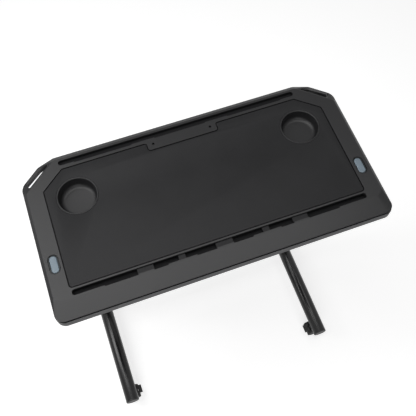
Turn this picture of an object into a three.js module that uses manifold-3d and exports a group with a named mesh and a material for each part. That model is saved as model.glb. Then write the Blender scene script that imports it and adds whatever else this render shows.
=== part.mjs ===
// Height adjustable trainer desk: a moulded tray on two telescoping columns and a castored floor frame.
// Millimetres, +Z up, +X to the rider's right, +Y away from the rider. The origin is on the floor below the
// middle of the part. Right hand pieces are drawn, and left hand pieces are their mirror image in X.
import * as THREE from 'three';
import { mergeVertices } from 'three/addons/utils/BufferGeometryUtils.js';
import Module from 'manifold-3d';

const wasm = await Module();
wasm.setup();

// Clearances and cutting allowances
const seatGap = 0.3;
const runningGap = 0.06;
const slideGap = 0.15;
const overrun = 5;
const weldTolerance = 1e-4;
const halfTurn = 180;

// Facet counts
const facets = { large: 24, medium: 16, small: 12, hole: 10, corner: 2 };
const bend = 2;

// Tray: its height above the floor, its outline and its walls. The far corners are cut at the carrying bars.
const deckTop = 960;
const tray = {
  height: 36, halfWidth: 399, nearY: -194, farY: 206, nearRadius: 22, wall: 4, floor: 2.5,
  rimDrop: 8, skirt: 2, seam: 0.5, seamStep: 3, seamInset: 2.6, seamBevel: 1.2, footBevel: 4.5,
  coreDepth: 6.5, coreInset: 12,
  shoulderRadius: 18, handleRadius: 26, handleIn: 42, handleBack: 14.5, farEndIn: 88,
  shoulderIn: 5, shoulderBack: 63, shoulderEndBack: 46,
};
const rimZ = deckTop - tray.rimDrop;
const coverZ = rimZ - tray.skirt;
const trayZ = deckTop - tray.height;
const floorZ = trayZ + tray.floor;

// Places on the tray: in from its side, up from its near edge and back from its far edge
const fromSide = (distance) => tray.halfWidth - distance;
const fromNear = (distance) => tray.nearY + distance;
const fromFar = (distance) => tray.farY - distance;
const place = {
  columnIn: 54, columnBack: 84, buttonIn: 28, buttonUp: 132.5, cupIn: 119, cupBack: 119.7, tabHoleBack: 46,
  farSlotIn: 97, farSlotBack: 22.8, nearSlotIn: 49, nearSlotUp: 55.9, armUp: 76,
};
const plateau = {
  slopeIn: 24, slopeUp: 45, sideIn: 8, sideUp: 57, radius: 8, cutBack: 78, cutIn: 87.5, farBack: 10.5,
  cutRadius: 12, ringInShare: 0.35, ringDropShare: 0.44,
};

// Slot through each far corner, which leaves the carrying bar outside it
const grip = {
  innerNearIn: 18, innerNearBack: 65, innerFarIn: 74.4, innerFarBack: 17.1,
  outerNearIn: 13.5, outerNearBack: 50.5, outerBendIn: 51, outerBendBack: 20.5, outerFarIn: 70,
  outerFarBack: 14.8, radius: 3, bendRadius: 12, endRadius: 1.5, barDepth: 17.5, bodyRadius: 8,
};

// Work mat and its recess
const mat = {
  sideIn: 48, nearUp: 69, cutIn: 101.5, cutBack: 86, farBack: 41, nearRadius: 6, cutRadius: 4,
  notchHalf: 90, notchBack: 63, notchRadius: 8, groove: 2.2, recess: 3.5, drop: 0.3,
};
const recessZ = deckTop - mat.recess;
const tab = { holeX: 72.7, holeY: fromFar(place.tabHoleBack), holeRadius: 3 };

// Cup holders
const cup = {
  x: fromSide(place.cupIn), y: fromFar(place.cupBack), radius: 45, floorRadius: 44, depth: 30, fillet: 11,
  wall: 1.8, rim: 3.4, boreGap: 0.3,
};

// Accessory slots: lengths, edges and the stretches that are wider or deeper, outwards from the middle
const farSlot = {
  y: fromFar(place.farSlotBack), halfLength: fromSide(place.farSlotIn), half: 6.6, depth: 14, step: 2,
  centreHalf: 65, wideStart: 123, wideEndIn: 37,
};
const nearSlot = {
  y: fromNear(place.nearSlotUp), halfLength: fromSide(place.nearSlotIn), half: 6.85, depth: 14, shallow: 5,
  step: 2.4, wide: [[20, 67], [134, 167], [203, 279]], deep: [[20, 92], [108, 166]], lastDeepStart: 203,
};
const trough = { wall: 2.4, floor: 2.2 };

// Casters, drawn about the swivel axis with the floor at zero and the wheels trailing towards -X
const caster = { trail: 8, wheel: 21, track: 15.5, web: 5.5, webGap: 0.5, endIn: 35 };
const hood = {
  clearance: 1.5, shell: 2.5, halfWidth: 22, fromDegrees: 12, toDegrees: 104, webToDegrees: 128, boss: 7,
  axle: 3, axleHalf: 18.5, pivotX: -14, pivotZ: 21.5, pivotBoss: 3.5,
  plate: 12, plateThickness: 6, plateRise: 4,
};
const plateTop = 2 * caster.wheel + hood.clearance + hood.shell + hood.plateRise;
const socket = { radius: 8, collar: 12, plateGap: 2, flange: 6, wrap: 8, rise: 10, boreGap: 0.2 };
const socketZ = plateTop + socket.plateGap;
const stem = { radius: 5, drop: 4 };
const brake = {
  pin: 2, cheek: 3.7, cheekHalf: 13, tipX: -17, tipTop: -1.5, tipBottom: -5, noseX: -3.2, noseZ: -6.6,
  rootX: -4.2, round: 1,
};
const tread = { edge: 1.6, rimInner: 17, faceRecess: 1.2, faceRadius: 15.4 };

// Floor tubes, which the caster sockets carry, and the feet and crossbar above them
const tubeRadius = 22;
const tube = { z: socketZ + socket.flange + tubeRadius, radius: tubeRadius, wall: 2, halfLength: 240 };
const endCap = { lip: 5, dome: 2.2, plug: 15, plugGap: 0.3 };
const foot = {
  halfLength: 38, sideWall: 4, wallX: 5, wallY: 6, baseDrop: 4, shoulderRise: 20, neckRise: 34, topRise: 72,
  fillet: 5, web: 4,
};
const footTop = tube.z + foot.topRise;
const crossbar = {
  halfY: 12.5, height: 50, rise: 28, radius: 6, wall: 2.5, flange: 6, flangeHalfY: 22, flangeRise: 14,
};

// Telescoping columns, with a row of lock holes counted down from the top
const below = { armHead: 21.5, columnStop: 23.7, armCollar: 60, leverNear: 9, leverFar: 16.3, ears: 8.7 };
const collar = { wall: 4, above: 8, below: 18, sleeve: 60, radius: 9 };
const travel = { down: 120, clearance: 12 };
const outerTop = deckTop - below.armCollar - travel.down - travel.clearance - collar.above;
const holes = { radius: 5.3, pitch: 30, count: 13, fromTop: 90, lockedBelowFirst: 8, innerFoot: 30 };
const lockZ = outerTop - holes.fromTop - holes.lockedBelowFirst * holes.pitch;
const column = {
  x: fromSide(place.columnIn), y: fromFar(place.columnBack), wall: 2,
  outerHalfX: 17, outerHalfY: 30, outerRadius: 7, outerBottom: tube.z + tube.radius + foot.web,
  innerHalfX: 13, innerHalfY: 26, innerRadius: 5, innerBottom: lockZ - holes.innerFoot,
  innerTop: deckTop - below.columnStop - seatGap,
};

// Release buttons and their bezels
const button = {
  x: fromSide(place.buttonIn), y: fromNear(place.buttonUp), halfX: 9.25, halfY: 20.5, travel: 4, rise: 0.6,
  crown: 1, crownInset: 1.6, skirt: 6.6, postX: 5, postY: 2.4,
  bezelX: 12, bezelY: 24.5, bezelDrop: 1.2, bezelHeight: 7.2, lipX: 13, lipY: 26, lip: 1.6,
};

// Release lever: a sheet arm that rocks on a pin and lifts the pull rod
const lever = {
  pivotUp: 74.5, thickness: 4, width: 12, nearEnd: 11.5, bendStartBack: 30, bendEndBack: 6,
  farEnd: 11, farHalf: 8, barrel: 5, pin: 3, rodHole: 3.6,
};
const leverTop = { near: deckTop - below.leverNear, far: deckTop - below.leverFar };
const pivotY = button.y + lever.pivotUp;

// Lock pin, its housing and the pull rod's cam plate
const lock = {
  radius: 5, tipTaper: 1.5, tipShare: 0.7, reach: 3, tail: 14, slotHalfY: 11.5, slotHalf: 2.4,
  camY: -3, camAngle: 45, crossPin: 2, travel: 6, boreGap: 0.15,
};
const plug = { rise: 28, flange: 8, channelDrop: 18, channelHalf: 10.5, camHalf: 2.5, radius: 3.5 };
const rod = {
  radius: 2.5, head: 5, headHeight: 2.5, camHalf: 2, camDrop: 12, camRise: 10, camNear: 5, camFar: 11,
};

// Arm that carries the tray on each column
const arm = {
  halfWidth: 14, farReach: 27, headReach: 34, headRise: 8, height: 15.5,
  collarHalfX: 18, collarHalfY: 31, collarRadius: 8, rodHole: 4,
  earGap: 0.6, earWall: 2.4, earHalf: 7, earRadius: 3.5, base: 3,
};

// Spring below each button
const spring = { coil: 4.6, wire: 0.6, turns: 4, sides: 4, stepsPerTurn: 6, post: 3, postHeight: 5 };

// Colours and finishes
const finish = {
  shell: { color: 0x4a4a4b, roughness: 0.62, metalness: 0 },
  lower: { color: 0x545455, roughness: 0.6, metalness: 0 },
  mat: { color: 0x2f2f30, roughness: 0.85, metalness: 0 },
  cup: { color: 0x3c3c3d, roughness: 0.6, metalness: 0 },
  button: { color: 0x8f9da7, roughness: 0.5, metalness: 0 },
  bezel: { color: 0x2b3236, roughness: 0.6, metalness: 0 },
  tube: { color: 0x1e1e20, roughness: 0.4, metalness: 0.3 },
  inner: { color: 0x2a2a2c, roughness: 0.35, metalness: 0.4 },
  plastic: { color: 0x161617, roughness: 0.55, metalness: 0 },
  steel: { color: 0xa4a6a8, roughness: 0.35, metalness: 0.9 },
  rubber: { color: 0x1a1a1a, roughness: 0.8, metalness: 0 },
};

// Outlines

/** Mirrors the right hand corners of an outline in X and closes it. A corner is [x, y, radius, steps]. */
function bothSides(corners) {
  const left = corners.map(([x, ...rest]) => [-x, ...rest]).reverse();
  return [...corners, ...left];
}

/** Points of a closed outline whose corners are turned into arcs. */
function outline(corners) {
  const points = [];
  corners.forEach(([x, y, radius = 0, steps = facets.corner], i) => {
    const here = new THREE.Vector2(x, y);
    const back = new THREE.Vector2(...corners.at(i - 1)).sub(here).normalize();
    const on = new THREE.Vector2(...corners[(i + 1) % corners.length]).sub(here).normalize();
    if (radius === 0) {
      points.push(here);
      return;
    }
    const half = Math.acos(THREE.MathUtils.clamp(back.dot(on), -1, 1)) / 2;
    const centre = here.clone().addScaledVector(back.clone().add(on).normalize(), radius / Math.sin(half));
    const start = here.clone().addScaledVector(back, radius / Math.tan(half)).sub(centre);
    const end = here.clone().addScaledVector(on, radius / Math.tan(half)).sub(centre);
    const sweep = Math.atan2(start.cross(end), start.dot(end));
    for (let k = 0; k <= steps; k++) {
      points.push(start.clone().rotateAround(new THREE.Vector2(), (sweep * k) / steps).add(centre));
    }
  });
  return points;
}

// A corner that an inset would close keeps this share of its radius
const leastRadiusShare = 0.2;

/** Moves every edge of a counter-clockwise outline inwards, or outwards when the distance is negative. */
function inset(corners, distance) {
  return corners.map(([x, y, radius = 0, steps = facets.corner], i) => {
    const here = new THREE.Vector2(x, y);
    const along = here.clone().sub(new THREE.Vector2(...corners.at(i - 1))).normalize();
    const next = new THREE.Vector2(...corners[(i + 1) % corners.length]).sub(here).normalize();
    const turn = along.cross(next);
    const shift = along.clone().sub(next).multiplyScalar(-distance / turn);
    const moved = here.add(shift);
    const turned = Math.max(radius - Math.sign(turn) * distance, radius * leastRadiusShare);
    return [moved.x, moved.y, radius && turned, steps];
  });
}

/** Corners of a rectangle about a centre. */
function rectangle(x, y, halfX, halfY, radius = 0, steps = facets.corner) {
  return [[x - halfX, y - halfY], [x + halfX, y - halfY], [x + halfX, y + halfY], [x - halfX, y + halfY]]
    .map(([a, b]) => [a, b, radius, steps]);
}

/** Points of a circle. */
function circle(x, y, radius, count) {
  return Array.from({ length: count }, (_, k) => {
    const angle = (2 * Math.PI * k) / count;
    return new THREE.Vector2(x + radius * Math.cos(angle), y + radius * Math.sin(angle));
  });
}

/** Points of an arc between two angles in degrees. */
function arc(x, y, radius, fromDegrees, toDegrees, steps) {
  return Array.from({ length: steps + 1 }, (_, k) => {
    const angle = THREE.MathUtils.degToRad(fromDegrees + ((toDegrees - fromDegrees) * k) / steps);
    return new THREE.Vector2(x + radius * Math.cos(angle), y + radius * Math.sin(angle));
  });
}

// Solids

/** Turns a closed three.js geometry into a solid that can be joined and cut. */
function solidOf(source) {
  const bare = source.clone();
  bare.deleteAttribute('normal');
  bare.deleteAttribute('uv');
  const merged = mergeVertices(bare, weldTolerance);
  const corners = merged.index.array;
  const triangles = [];
  for (let i = 0; i < corners.length; i += 3) {
    const [a, b, c] = corners.slice(i, i + 3);
    if (a !== b && b !== c && c !== a) triangles.push(a, b, c);
  }
  const vertices = new Float32Array(merged.attributes.position.array);
  if (signedVolume(vertices, triangles) < 0) {
    for (let i = 0; i < triangles.length; i += 3) {
      [triangles[i], triangles[i + 1]] = [triangles[i + 1], triangles[i]];
    }
  }
  const mesh = new wasm.Mesh({ numProp: 3, vertProperties: vertices, triVerts: new Uint32Array(triangles) });
  return new wasm.Manifold(mesh);
}

/** Six times the volume that a triangle mesh encloses, negative when it is inside out. */
function signedVolume(vertices, triangles) {
  const corner = (i) => new THREE.Vector3().fromArray(vertices, 3 * triangles[i]);
  let sum = 0;
  for (let i = 0; i < triangles.length; i += 3) {
    sum += corner(i).dot(corner(i + 1).cross(corner(i + 2)));
  }
  return sum;
}

/** Extrudes an outline in X and Y between two heights. */
function prism(points, fromZ, toZ) {
  const shape = new THREE.Shape(points);
  const geometry = new THREE.ExtrudeGeometry(shape, { depth: toZ - fromZ, bevelEnabled: false });
  return solidOf(geometry.translate(0, 0, fromZ));
}

/** Extrudes a profile drawn in Y and Z along X. */
function prismX(points, fromX, toX) {
  const shape = new THREE.Shape(points);
  const geometry = new THREE.ExtrudeGeometry(shape, { depth: toX - fromX, bevelEnabled: false });
  const turned = new THREE.Matrix4().makeBasis(
    new THREE.Vector3(0, 1, 0), new THREE.Vector3(0, 0, 1), new THREE.Vector3(1, 0, 0),
  );
  return solidOf(geometry.applyMatrix4(turned).translate(fromX, 0, 0));
}

/** Extrudes a profile drawn in X and Z along Y. */
function prismY(points, fromY, toY) {
  const shape = new THREE.Shape(points);
  const geometry = new THREE.ExtrudeGeometry(shape, { depth: toY - fromY, bevelEnabled: false });
  return solidOf(geometry.rotateX(Math.PI / 2).translate(0, toY, 0));
}

/** Skins rings of equal counts, each with its own height, and closes both ends. */
function loft(rings) {
  const count = rings[0].points.length;
  const positions = rings.flatMap(({ points, z }) => points.flatMap((p) => [p.x, p.y, z]));
  const index = [];
  for (let k = 0; k < rings.length - 1; k++) {
    for (let i = 0; i < count; i++) {
      const a = k * count + i;
      const b = k * count + ((i + 1) % count);
      index.push(a, b, b + count, a, b + count, a + count);
    }
  }
  const last = (rings.length - 1) * count;
  for (const [a, b, c] of THREE.ShapeUtils.triangulateShape(rings[0].points, [])) index.push(c, b, a);
  for (const [a, b, c] of THREE.ShapeUtils.triangulateShape(rings.at(-1).points, [])) {
    index.push(last + a, last + b, last + c);
  }
  const geometry = new THREE.BufferGeometry();
  geometry.setAttribute('position', new THREE.Float32BufferAttribute(positions, 3));
  geometry.setIndex(index);
  return solidOf(geometry);
}

/** Revolves a profile of [radius, distance along the axis] points about X, Y or Z. */
function turned(profile, count, axis = 'z') {
  const points = profile.map(([radius, along]) => new THREE.Vector2(radius, along));
  const geometry = new THREE.LatheGeometry(points, count);
  if (axis === 'z') geometry.rotateX(Math.PI / 2);
  if (axis === 'x') geometry.rotateZ(-Math.PI / 2);
  return geometry;
}

/** Revolved solid moved to its place. */
function turnedSolid(profile, count, axis, x, y, z) {
  return solidOf(turned(profile, count, axis).translate(x, y, z));
}

/** Plain round bar profile. */
function bar(radius, from, to) {
  return [[0, from], [radius, from], [radius, to], [0, to]];
}

/** Joins solids. */
function join(first, ...others) {
  return others.reduce((whole, other) => whole.add(other), first);
}

/** Cuts tools from a solid. */
function cut(body, ...tools) {
  return tools.reduce((whole, tool) => whole.subtract(tool), body);
}

/** Named mesh of a solid. A side of -1 mirrors it in X. */
function piece(name, solid, look, side = 1) {
  const { vertProperties, triVerts } = solid.getMesh();
  const positions = new Float32Array(vertProperties);
  const index = new Uint32Array(triVerts);
  if (side < 0) {
    for (let i = 0; i < positions.length; i += 3) positions[i] *= -1;
    for (let i = 0; i < index.length; i += 3) [index[i], index[i + 1]] = [index[i + 1], index[i]];
  }
  const geometry = new THREE.BufferGeometry();
  geometry.setAttribute('position', new THREE.BufferAttribute(positions, 3));
  geometry.setIndex(new THREE.BufferAttribute(index, 1));
  geometry.computeVertexNormals();
  const mesh = new THREE.Mesh(geometry, new THREE.MeshStandardMaterial(look));
  mesh.name = name;
  return mesh;
}

// Tray outlines

/** Outer edge of the tray at the rim, where the bevel ends. */
function rimCorners() {
  const t = tray;
  return bothSides([
    [t.halfWidth, t.nearY, t.nearRadius, 2 * bend + 1],
    [t.halfWidth, fromFar(t.shoulderBack), t.shoulderRadius, bend],
    [fromSide(t.shoulderIn), fromFar(t.shoulderEndBack), t.shoulderRadius, bend],
    [fromSide(t.handleIn), fromFar(t.handleBack), t.handleRadius, bend],
    [fromSide(t.farEndIn), t.farY, t.handleRadius, bend],
  ]);
}

/** Edge of the flat top, with as many points as the rim. */
function plateauCorners() {
  const p = plateau;
  return bothSides([
    [fromSide(p.slopeIn), fromNear(p.slopeUp), p.radius, bend],
    [fromSide(p.sideIn), fromNear(p.sideUp), p.radius, bend],
    [fromSide(p.sideIn), fromFar(p.cutBack), p.cutRadius, 2 * bend + 1],
    [fromSide(p.cutIn), fromFar(p.farBack), p.cutRadius, 2 * bend + 1],
  ]);
}

/** Right hand carrying slot's corners, from the inner near one round the outside to the inner far one. */
function gripCorners() {
  const g = grip;
  return [
    [g.innerNearIn, g.innerNearBack, g.radius], [g.outerNearIn, g.outerNearBack, g.radius],
    [g.outerBendIn, g.outerBendBack, g.bendRadius], [g.outerFarIn, g.outerFarBack, g.endRadius],
    [g.innerFarIn, g.innerFarBack, g.endRadius],
  ].map(([x, y, radius]) => [fromSide(x), fromFar(y), radius, bend]);
}

/** Line along the inner edge of the carrying slot, met at a chosen x or y. */
function gripLine() {
  const corners = gripCorners();
  const [nearX, nearY] = corners[0];
  const [farX, farY] = corners.at(-1);
  const slope = (farY - nearY) / (farX - nearX);
  return { yAt: (x) => nearY + (x - nearX) * slope, xAt: (y) => nearX + (y - nearY) / slope };
}

/** Outline of the tray's body, whose far corners stop at the carrying slots. */
function bodyCorners() {
  const line = gripLine();
  return bothSides([
    [tray.halfWidth, tray.nearY, tray.nearRadius, 2 * bend + 1],
    [tray.halfWidth, line.yAt(tray.halfWidth), grip.bodyRadius, bend],
    [line.xAt(tray.farY), tray.farY, grip.bodyRadius, bend],
  ]);
}

/** Mat outline, with the notch round the accessory tab. */
function matCorners() {
  const m = mat;
  return bothSides([
    [fromSide(m.sideIn), fromNear(m.nearUp), m.nearRadius],
    [fromSide(m.sideIn), fromFar(m.cutBack), m.cutRadius],
    [fromSide(m.cutIn), fromFar(m.farBack), m.cutRadius],
    [m.notchHalf, fromFar(m.farBack), m.cutRadius],
    [m.notchHalf, fromFar(m.notchBack), m.notchRadius],
  ]);
}

/** Outline of a round ended slot. */
function slotOutline(halfLength, y, half) {
  return outline(rectangle(0, y, halfLength, half, half - seatGap, facets.corner));
}

// Tray

/** Cutting solids of a slot stretch on both sides of the middle. */
function slotStretches(stretches, y, half, fromZ) {
  return stretches.flatMap(([start, end]) => [-1, 1].map((side) => {
    const middle = (side * (start + end)) / 2;
    return prism(outline(rectangle(middle, y, (end - start) / 2, half)), fromZ, deckTop + overrun);
  }));
}

/** Solid of the far slot's space, grown on every side, between a depth and a height. */
function farSlotTool(grow, depth, top) {
  const s = farSlot;
  const bottom = deckTop - depth;
  const body = prism(slotOutline(s.halfLength + grow, s.y, s.half + grow), bottom, top);
  const stretches = [[0, s.centreHalf], [s.wideStart, s.halfLength - s.wideEndIn]];
  const wide = stretches.flatMap(([from, to]) => [-1, 1].map((side) => {
    const halfX = (to - from) / 2 + grow;
    const halfY = s.half + s.step / 2 + grow;
    return prism(outline(rectangle((side * (from + to)) / 2, s.y - s.step / 2, halfX, halfY)), bottom, top);
  }));
  return join(body, ...wide);
}

/** Deep stretches of the near slot, the last one up to its end. */
function nearDeepStretches() {
  return [...nearSlot.deep, [nearSlot.lastDeepStart, nearSlot.halfLength]];
}

/** Solids that cut the near slot: a shallow groove, its wider stretches and its deep stretches. */
function nearSlotTools() {
  const s = nearSlot;
  const shallowZ = deckTop - s.shallow;
  const groove = prism(slotOutline(s.halfLength, s.y, s.half), shallowZ, deckTop + overrun);
  const wide = slotStretches(s.wide, s.y - s.step / 2, s.half + s.step / 2, shallowZ);
  const whole = prism(slotOutline(s.halfLength, s.y, s.half), deckTop - s.depth, deckTop);
  const deepStretches = nearDeepStretches();
  const deep = slotStretches(deepStretches, s.y, s.half + overrun, deckTop - s.depth - overrun)
    .map((stretch) => stretch.intersect(whole));
  const wideDeep = s.wide.flatMap(([start, end], i) => {
    const [deepStart, deepEnd] = deepStretches[i];
    const stretch = [Math.max(start, deepStart), Math.min(end, deepEnd)];
    return slotStretches([stretch], s.y - s.step / 2, s.half + s.step / 2, deckTop - s.depth);
  });
  return [groove, ...wide, ...deep, ...wideDeep];
}

/** Walls below the near slot's deep stretches. */
function nearTroughs() {
  const s = nearSlot;
  const bottom = deckTop - s.depth - trough.floor;
  return nearDeepStretches().flatMap(([start, end]) => [-1, 1].map((side) => {
    const halfX = (end - start) / 2 + trough.wall;
    const halfY = s.half + s.step / 2 + trough.wall;
    const corners = rectangle((side * (start + end)) / 2, s.y - s.step / 2, halfX, halfY);
    return prism(outline(corners), bottom, recessZ - seatGap);
  }));
}

/** Solid of the slot behind each carrying bar. */
function gripTools() {
  const corners = gripCorners();
  const left = corners.map(([x, ...rest]) => [-x, ...rest]).reverse();
  return [corners, left].map((side) => prism(outline(side), trayZ - overrun, deckTop + overrun));
}

/** Moulded top cover: bevelled plate, slots, recess and the two carrying bars. */
function topCover() {
  const rim = outline(rimCorners());
  const top = outline(plateauCorners());
  const shoulder = rim.map((p, i) => p.clone().lerp(top[i], plateau.ringInShare));
  const barZ = deckTop - grip.barDepth;
  const shoulderZ = deckTop - tray.rimDrop * plateau.ringDropShare;
  const blank = loft([
    { points: rim, z: barZ }, { points: rim, z: rimZ },
    { points: shoulder, z: shoulderZ }, { points: top, z: deckTop },
  ]);
  const line = gripLine();
  const wideX = tray.halfWidth + overrun;
  const wideY = tray.farY + overrun;
  const nearY = tray.nearY - overrun;
  const inner = bothSides([[wideX, nearY], [wideX, line.yAt(wideX)], [line.xAt(wideY), wideY]]);
  const under = inset(inner, -seatGap);
  const undercut = prism(outline(under), barZ - overrun, coverZ);
  const core = loft([
    { points: outline(inset(bodyCorners(), tray.wall)), z: coverZ - overrun },
    { points: outline(inset(bodyCorners(), tray.wall)), z: coverZ },
    { points: outline(inset(bodyCorners(), tray.wall + tray.coreInset)), z: deckTop - tray.coreDepth },
  ]);
  const shell = cut(blank, undercut, core);
  const farWalls = farSlotTool(trough.wall, farSlot.depth + trough.floor, recessZ - seatGap);
  const lined = join(shell, ...nearTroughs(), farWalls);
  const recess = prism(outline(inset(matCorners(), -mat.groove)), recessZ, deckTop + overrun);
  const cupBore = cup.radius + cup.wall + cup.boreGap;
  const bores = [-1, 1].flatMap((side) => [
    prism(circle(side * cup.x, cup.y, cupBore, facets.large), trayZ, deckTop + overrun),
    prism(circle(side * tab.holeX, tab.holeY, tab.holeRadius, facets.hole), trayZ, deckTop + overrun),
    buttonHole(side),
  ]);
  const farTool = farSlotTool(0, farSlot.depth, deckTop + overrun);
  return cut(lined, recess, ...bores, farTool, ...nearSlotTools(), ...gripTools());
}

/** Hole for a button's bezel. */
function buttonHole(side) {
  const halfX = button.bezelX + seatGap;
  const halfY = button.bezelY + seatGap;
  const corners = rectangle(side * button.x, button.y, halfX, halfY, halfX - seatGap, bend + 1);
  return prism(outline(corners), coverZ - overrun, deckTop + overrun);
}

/** Moulded bottom cover: a shallow pan with a stepped lip, column openings and spring posts. */
function bottomCover() {
  const outer = bodyCorners();
  const lipZ = coverZ - tray.seam;
  const stepZ = lipZ - tray.seamStep;
  const pan = join(
    loft([
      { points: outline(inset(outer, tray.footBevel)), z: trayZ },
      { points: outline(outer), z: trayZ + tray.footBevel },
      { points: outline(outer), z: stepZ - tray.seamBevel },
      { points: outline(inset(outer, tray.seamBevel)), z: stepZ },
    ]),
    prism(outline(inset(outer, tray.seamInset)), stepZ, lipZ),
  );
  const inside = prism(outline(inset(outer, tray.wall)), floorZ, lipZ + overrun);
  const openings = [-1, 1].map((side) => {
    const halfX = arm.collarHalfX + seatGap;
    const halfY = arm.collarHalfY + seatGap;
    const corners = rectangle(side * column.x, column.y, halfX, halfY, arm.collarRadius);
    return prism(outline(corners), trayZ - overrun, lipZ);
  });
  const posts = [-1, 1].map((side) => turnedSolid(
    bar(spring.post, -tray.floor / 2, spring.postHeight), facets.hole, 'z', side * button.x, button.y, floorZ,
  ));
  return join(cut(pan, inside, ...openings), ...posts);
}

/** Soft mat with holes for the cup holders. */
function deskMat() {
  const holes = [-1, 1].map((side) => prism(
    circle(side * cup.x, cup.y, cup.radius + cup.rim + seatGap, facets.large),
    recessZ - overrun, deckTop + overrun,
  ));
  return cut(prism(outline(matCorners()), recessZ + seatGap, deckTop - mat.drop), ...holes);
}

/** Cup holder: a thin drawn well with a flat rim. */
function cupHolder() {
  const floorIn = deckTop - cup.depth;
  const centre = cup.floorRadius - cup.fillet;
  const inside = arc(centre, floorIn + cup.fillet, cup.fillet, 0, -90, facets.corner);
  const outside = arc(centre, floorIn + cup.fillet, cup.fillet + cup.wall, -90, 0, facets.corner);
  const rimZ0 = recessZ + seatGap;
  const profile = [
    [0, floorIn - cup.wall], ...outside.map((p) => [p.x, p.y]), [cup.radius + cup.wall, rimZ0],
    [cup.radius + cup.rim, rimZ0], [cup.radius + cup.rim, deckTop], [cup.radius, deckTop],
    ...inside.map((p) => [p.x, p.y]), [0, floorIn],
  ];
  return turnedSolid(profile, facets.large, 'z', cup.x, cup.y, 0);
}

// Release mechanism

/** Bezel round a button, held under the cover by a lip. */
function buttonBezel() {
  const b = button;
  const top = deckTop - b.bezelDrop;
  const lipTop = deckTop - tray.coreDepth - seatGap;
  const ring = prism(
    outline(rectangle(b.x, b.y, b.bezelX, b.bezelY, b.bezelX - seatGap, bend + 1)), top - b.bezelHeight, top,
  );
  const lip = prism(
    outline(rectangle(b.x, b.y, b.lipX, b.lipY, b.lipX - seatGap, bend + 1)), lipTop - b.lip, lipTop,
  );
  const bore = rectangle(b.x, b.y, b.halfX + seatGap, b.halfY + seatGap, b.halfX, bend + 1);
  return cut(join(ring, lip), prism(outline(bore), trayZ, deckTop + overrun));
}

/** Push button: a crowned cap with a post that bears on the lever. */
function releaseButton() {
  const b = button;
  const top = deckTop - b.rise;
  const body = rectangle(b.x, b.y, b.halfX, b.halfY, b.halfX - seatGap, bend + 1);
  const cap = loft([
    { points: outline(body), z: top - b.skirt },
    { points: outline(body), z: top - b.crown },
    { points: outline(inset(body, b.crownInset)), z: top },
  ]);
  const post = prism(outline(rectangle(b.x, b.y, b.postX, b.postY)), leverTop.near + seatGap, top - b.crown);
  return join(cap, post);
}

/** Heights and arms of the lever, worked out from its ends. */
function leverPlan() {
  const nearArm = pivotY - button.y;
  const farArm = column.y - pivotY;
  const slope = (leverTop.far - leverTop.near) / (nearArm + farArm);
  const pivotZ = leverTop.near - lever.thickness / 2 + slope * nearArm;
  return { nearArm, farArm, slope, pivotZ };
}

/** Release lever: drawn flat about its pivot, then tilted to its rest angle. */
function releaseLever() {
  const { nearArm, farArm, slope, pivotZ } = leverPlan();
  const half = lever.width / 2;
  const across = column.x - button.x;
  const bendStart = farArm - lever.bendStartBack;
  const bendEnd = farArm - lever.bendEndBack;
  const corners = [
    [-half, -nearArm - lever.nearEnd, half / 2], [half, -nearArm - lever.nearEnd, half / 2],
    [half, bendStart], [across + lever.farHalf, bendEnd],
    [across + lever.farHalf, farArm + lever.farEnd], [across - lever.farHalf, farArm + lever.farEnd],
    [across - lever.farHalf, bendEnd - half], [-half, bendStart - half],
  ];
  const plate = prism(outline(corners), -lever.thickness / 2, lever.thickness / 2);
  const barrel = turnedSolid(bar(lever.barrel, -half, half), facets.small, 'x', 0, 0, 0);
  const bore = turnedSolid(
    bar(lever.pin + runningGap, -half - overrun, half + overrun), facets.medium, 'x', 0, 0, 0,
  );
  const rodHole = prism(circle(across, farArm, lever.rodHole, facets.hole), -overrun, overrun);
  const flat = cut(join(plate, barrel), bore, rodHole);
  return { flat, tilt: Math.atan(slope), x: button.x, y: pivotY, z: pivotZ };
}

/** Tray arm: a welded box with the column's head, the lever's ears and its pivot pin. */
function supportArm() {
  const a = arm;
  const bottom = floorZ + seatGap;
  const nearY = fromNear(place.armUp);
  const farY = column.y + a.farReach;
  const headNear = column.y - a.headReach;
  const headTop = deckTop - below.armHead;
  const collarBottom = deckTop - below.armCollar;
  const body = prismX(outline([
    [nearY, bottom], [farY, bottom], [farY, headTop], [headNear, headTop],
    [headNear - a.headRise, bottom + a.height], [nearY, bottom + a.height],
  ]), column.x - a.halfWidth, column.x + a.halfWidth);
  const head = prism(
    outline(rectangle(column.x, column.y, a.collarHalfX, a.collarHalfY, a.collarRadius)),
    collarBottom, headTop,
  );
  const bore = prism(outline(rectangle(
    column.x, column.y, column.innerHalfX + slideGap, column.innerHalfY + slideGap, column.innerRadius,
  )), collarBottom - overrun, deckTop - below.columnStop);
  const rodHole = prism(circle(column.x, column.y, a.rodHole, facets.hole), collarBottom, headTop + overrun);
  const earX = lever.width / 2 + a.earGap;
  const innerEar = [button.x - earX - a.earWall, button.x - earX];
  const outerEar = [button.x + earX, button.x + earX + a.earWall];
  const base = prismX(
    outline(rectangle(pivotY, bottom + a.base / 2, a.earHalf, a.base / 2)), column.x, outerEar[1],
  );
  const earTop = deckTop - below.ears;
  const ears = [innerEar, outerEar].map(([from, to]) => prismX(outline([
    [pivotY - a.earHalf, bottom], [pivotY + a.earHalf, bottom],
    [pivotY + a.earHalf, earTop, a.earRadius], [pivotY - a.earHalf, earTop, a.earRadius],
  ]), from, to));
  const { pivotZ } = leverPlan();
  const pin = turnedSolid(bar(lever.pin, innerEar[0], outerEar[1]), facets.small, 'x', 0, pivotY, pivotZ);
  return join(cut(join(body, head), bore, rodHole), base, ...ears, pin);
}

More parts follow.
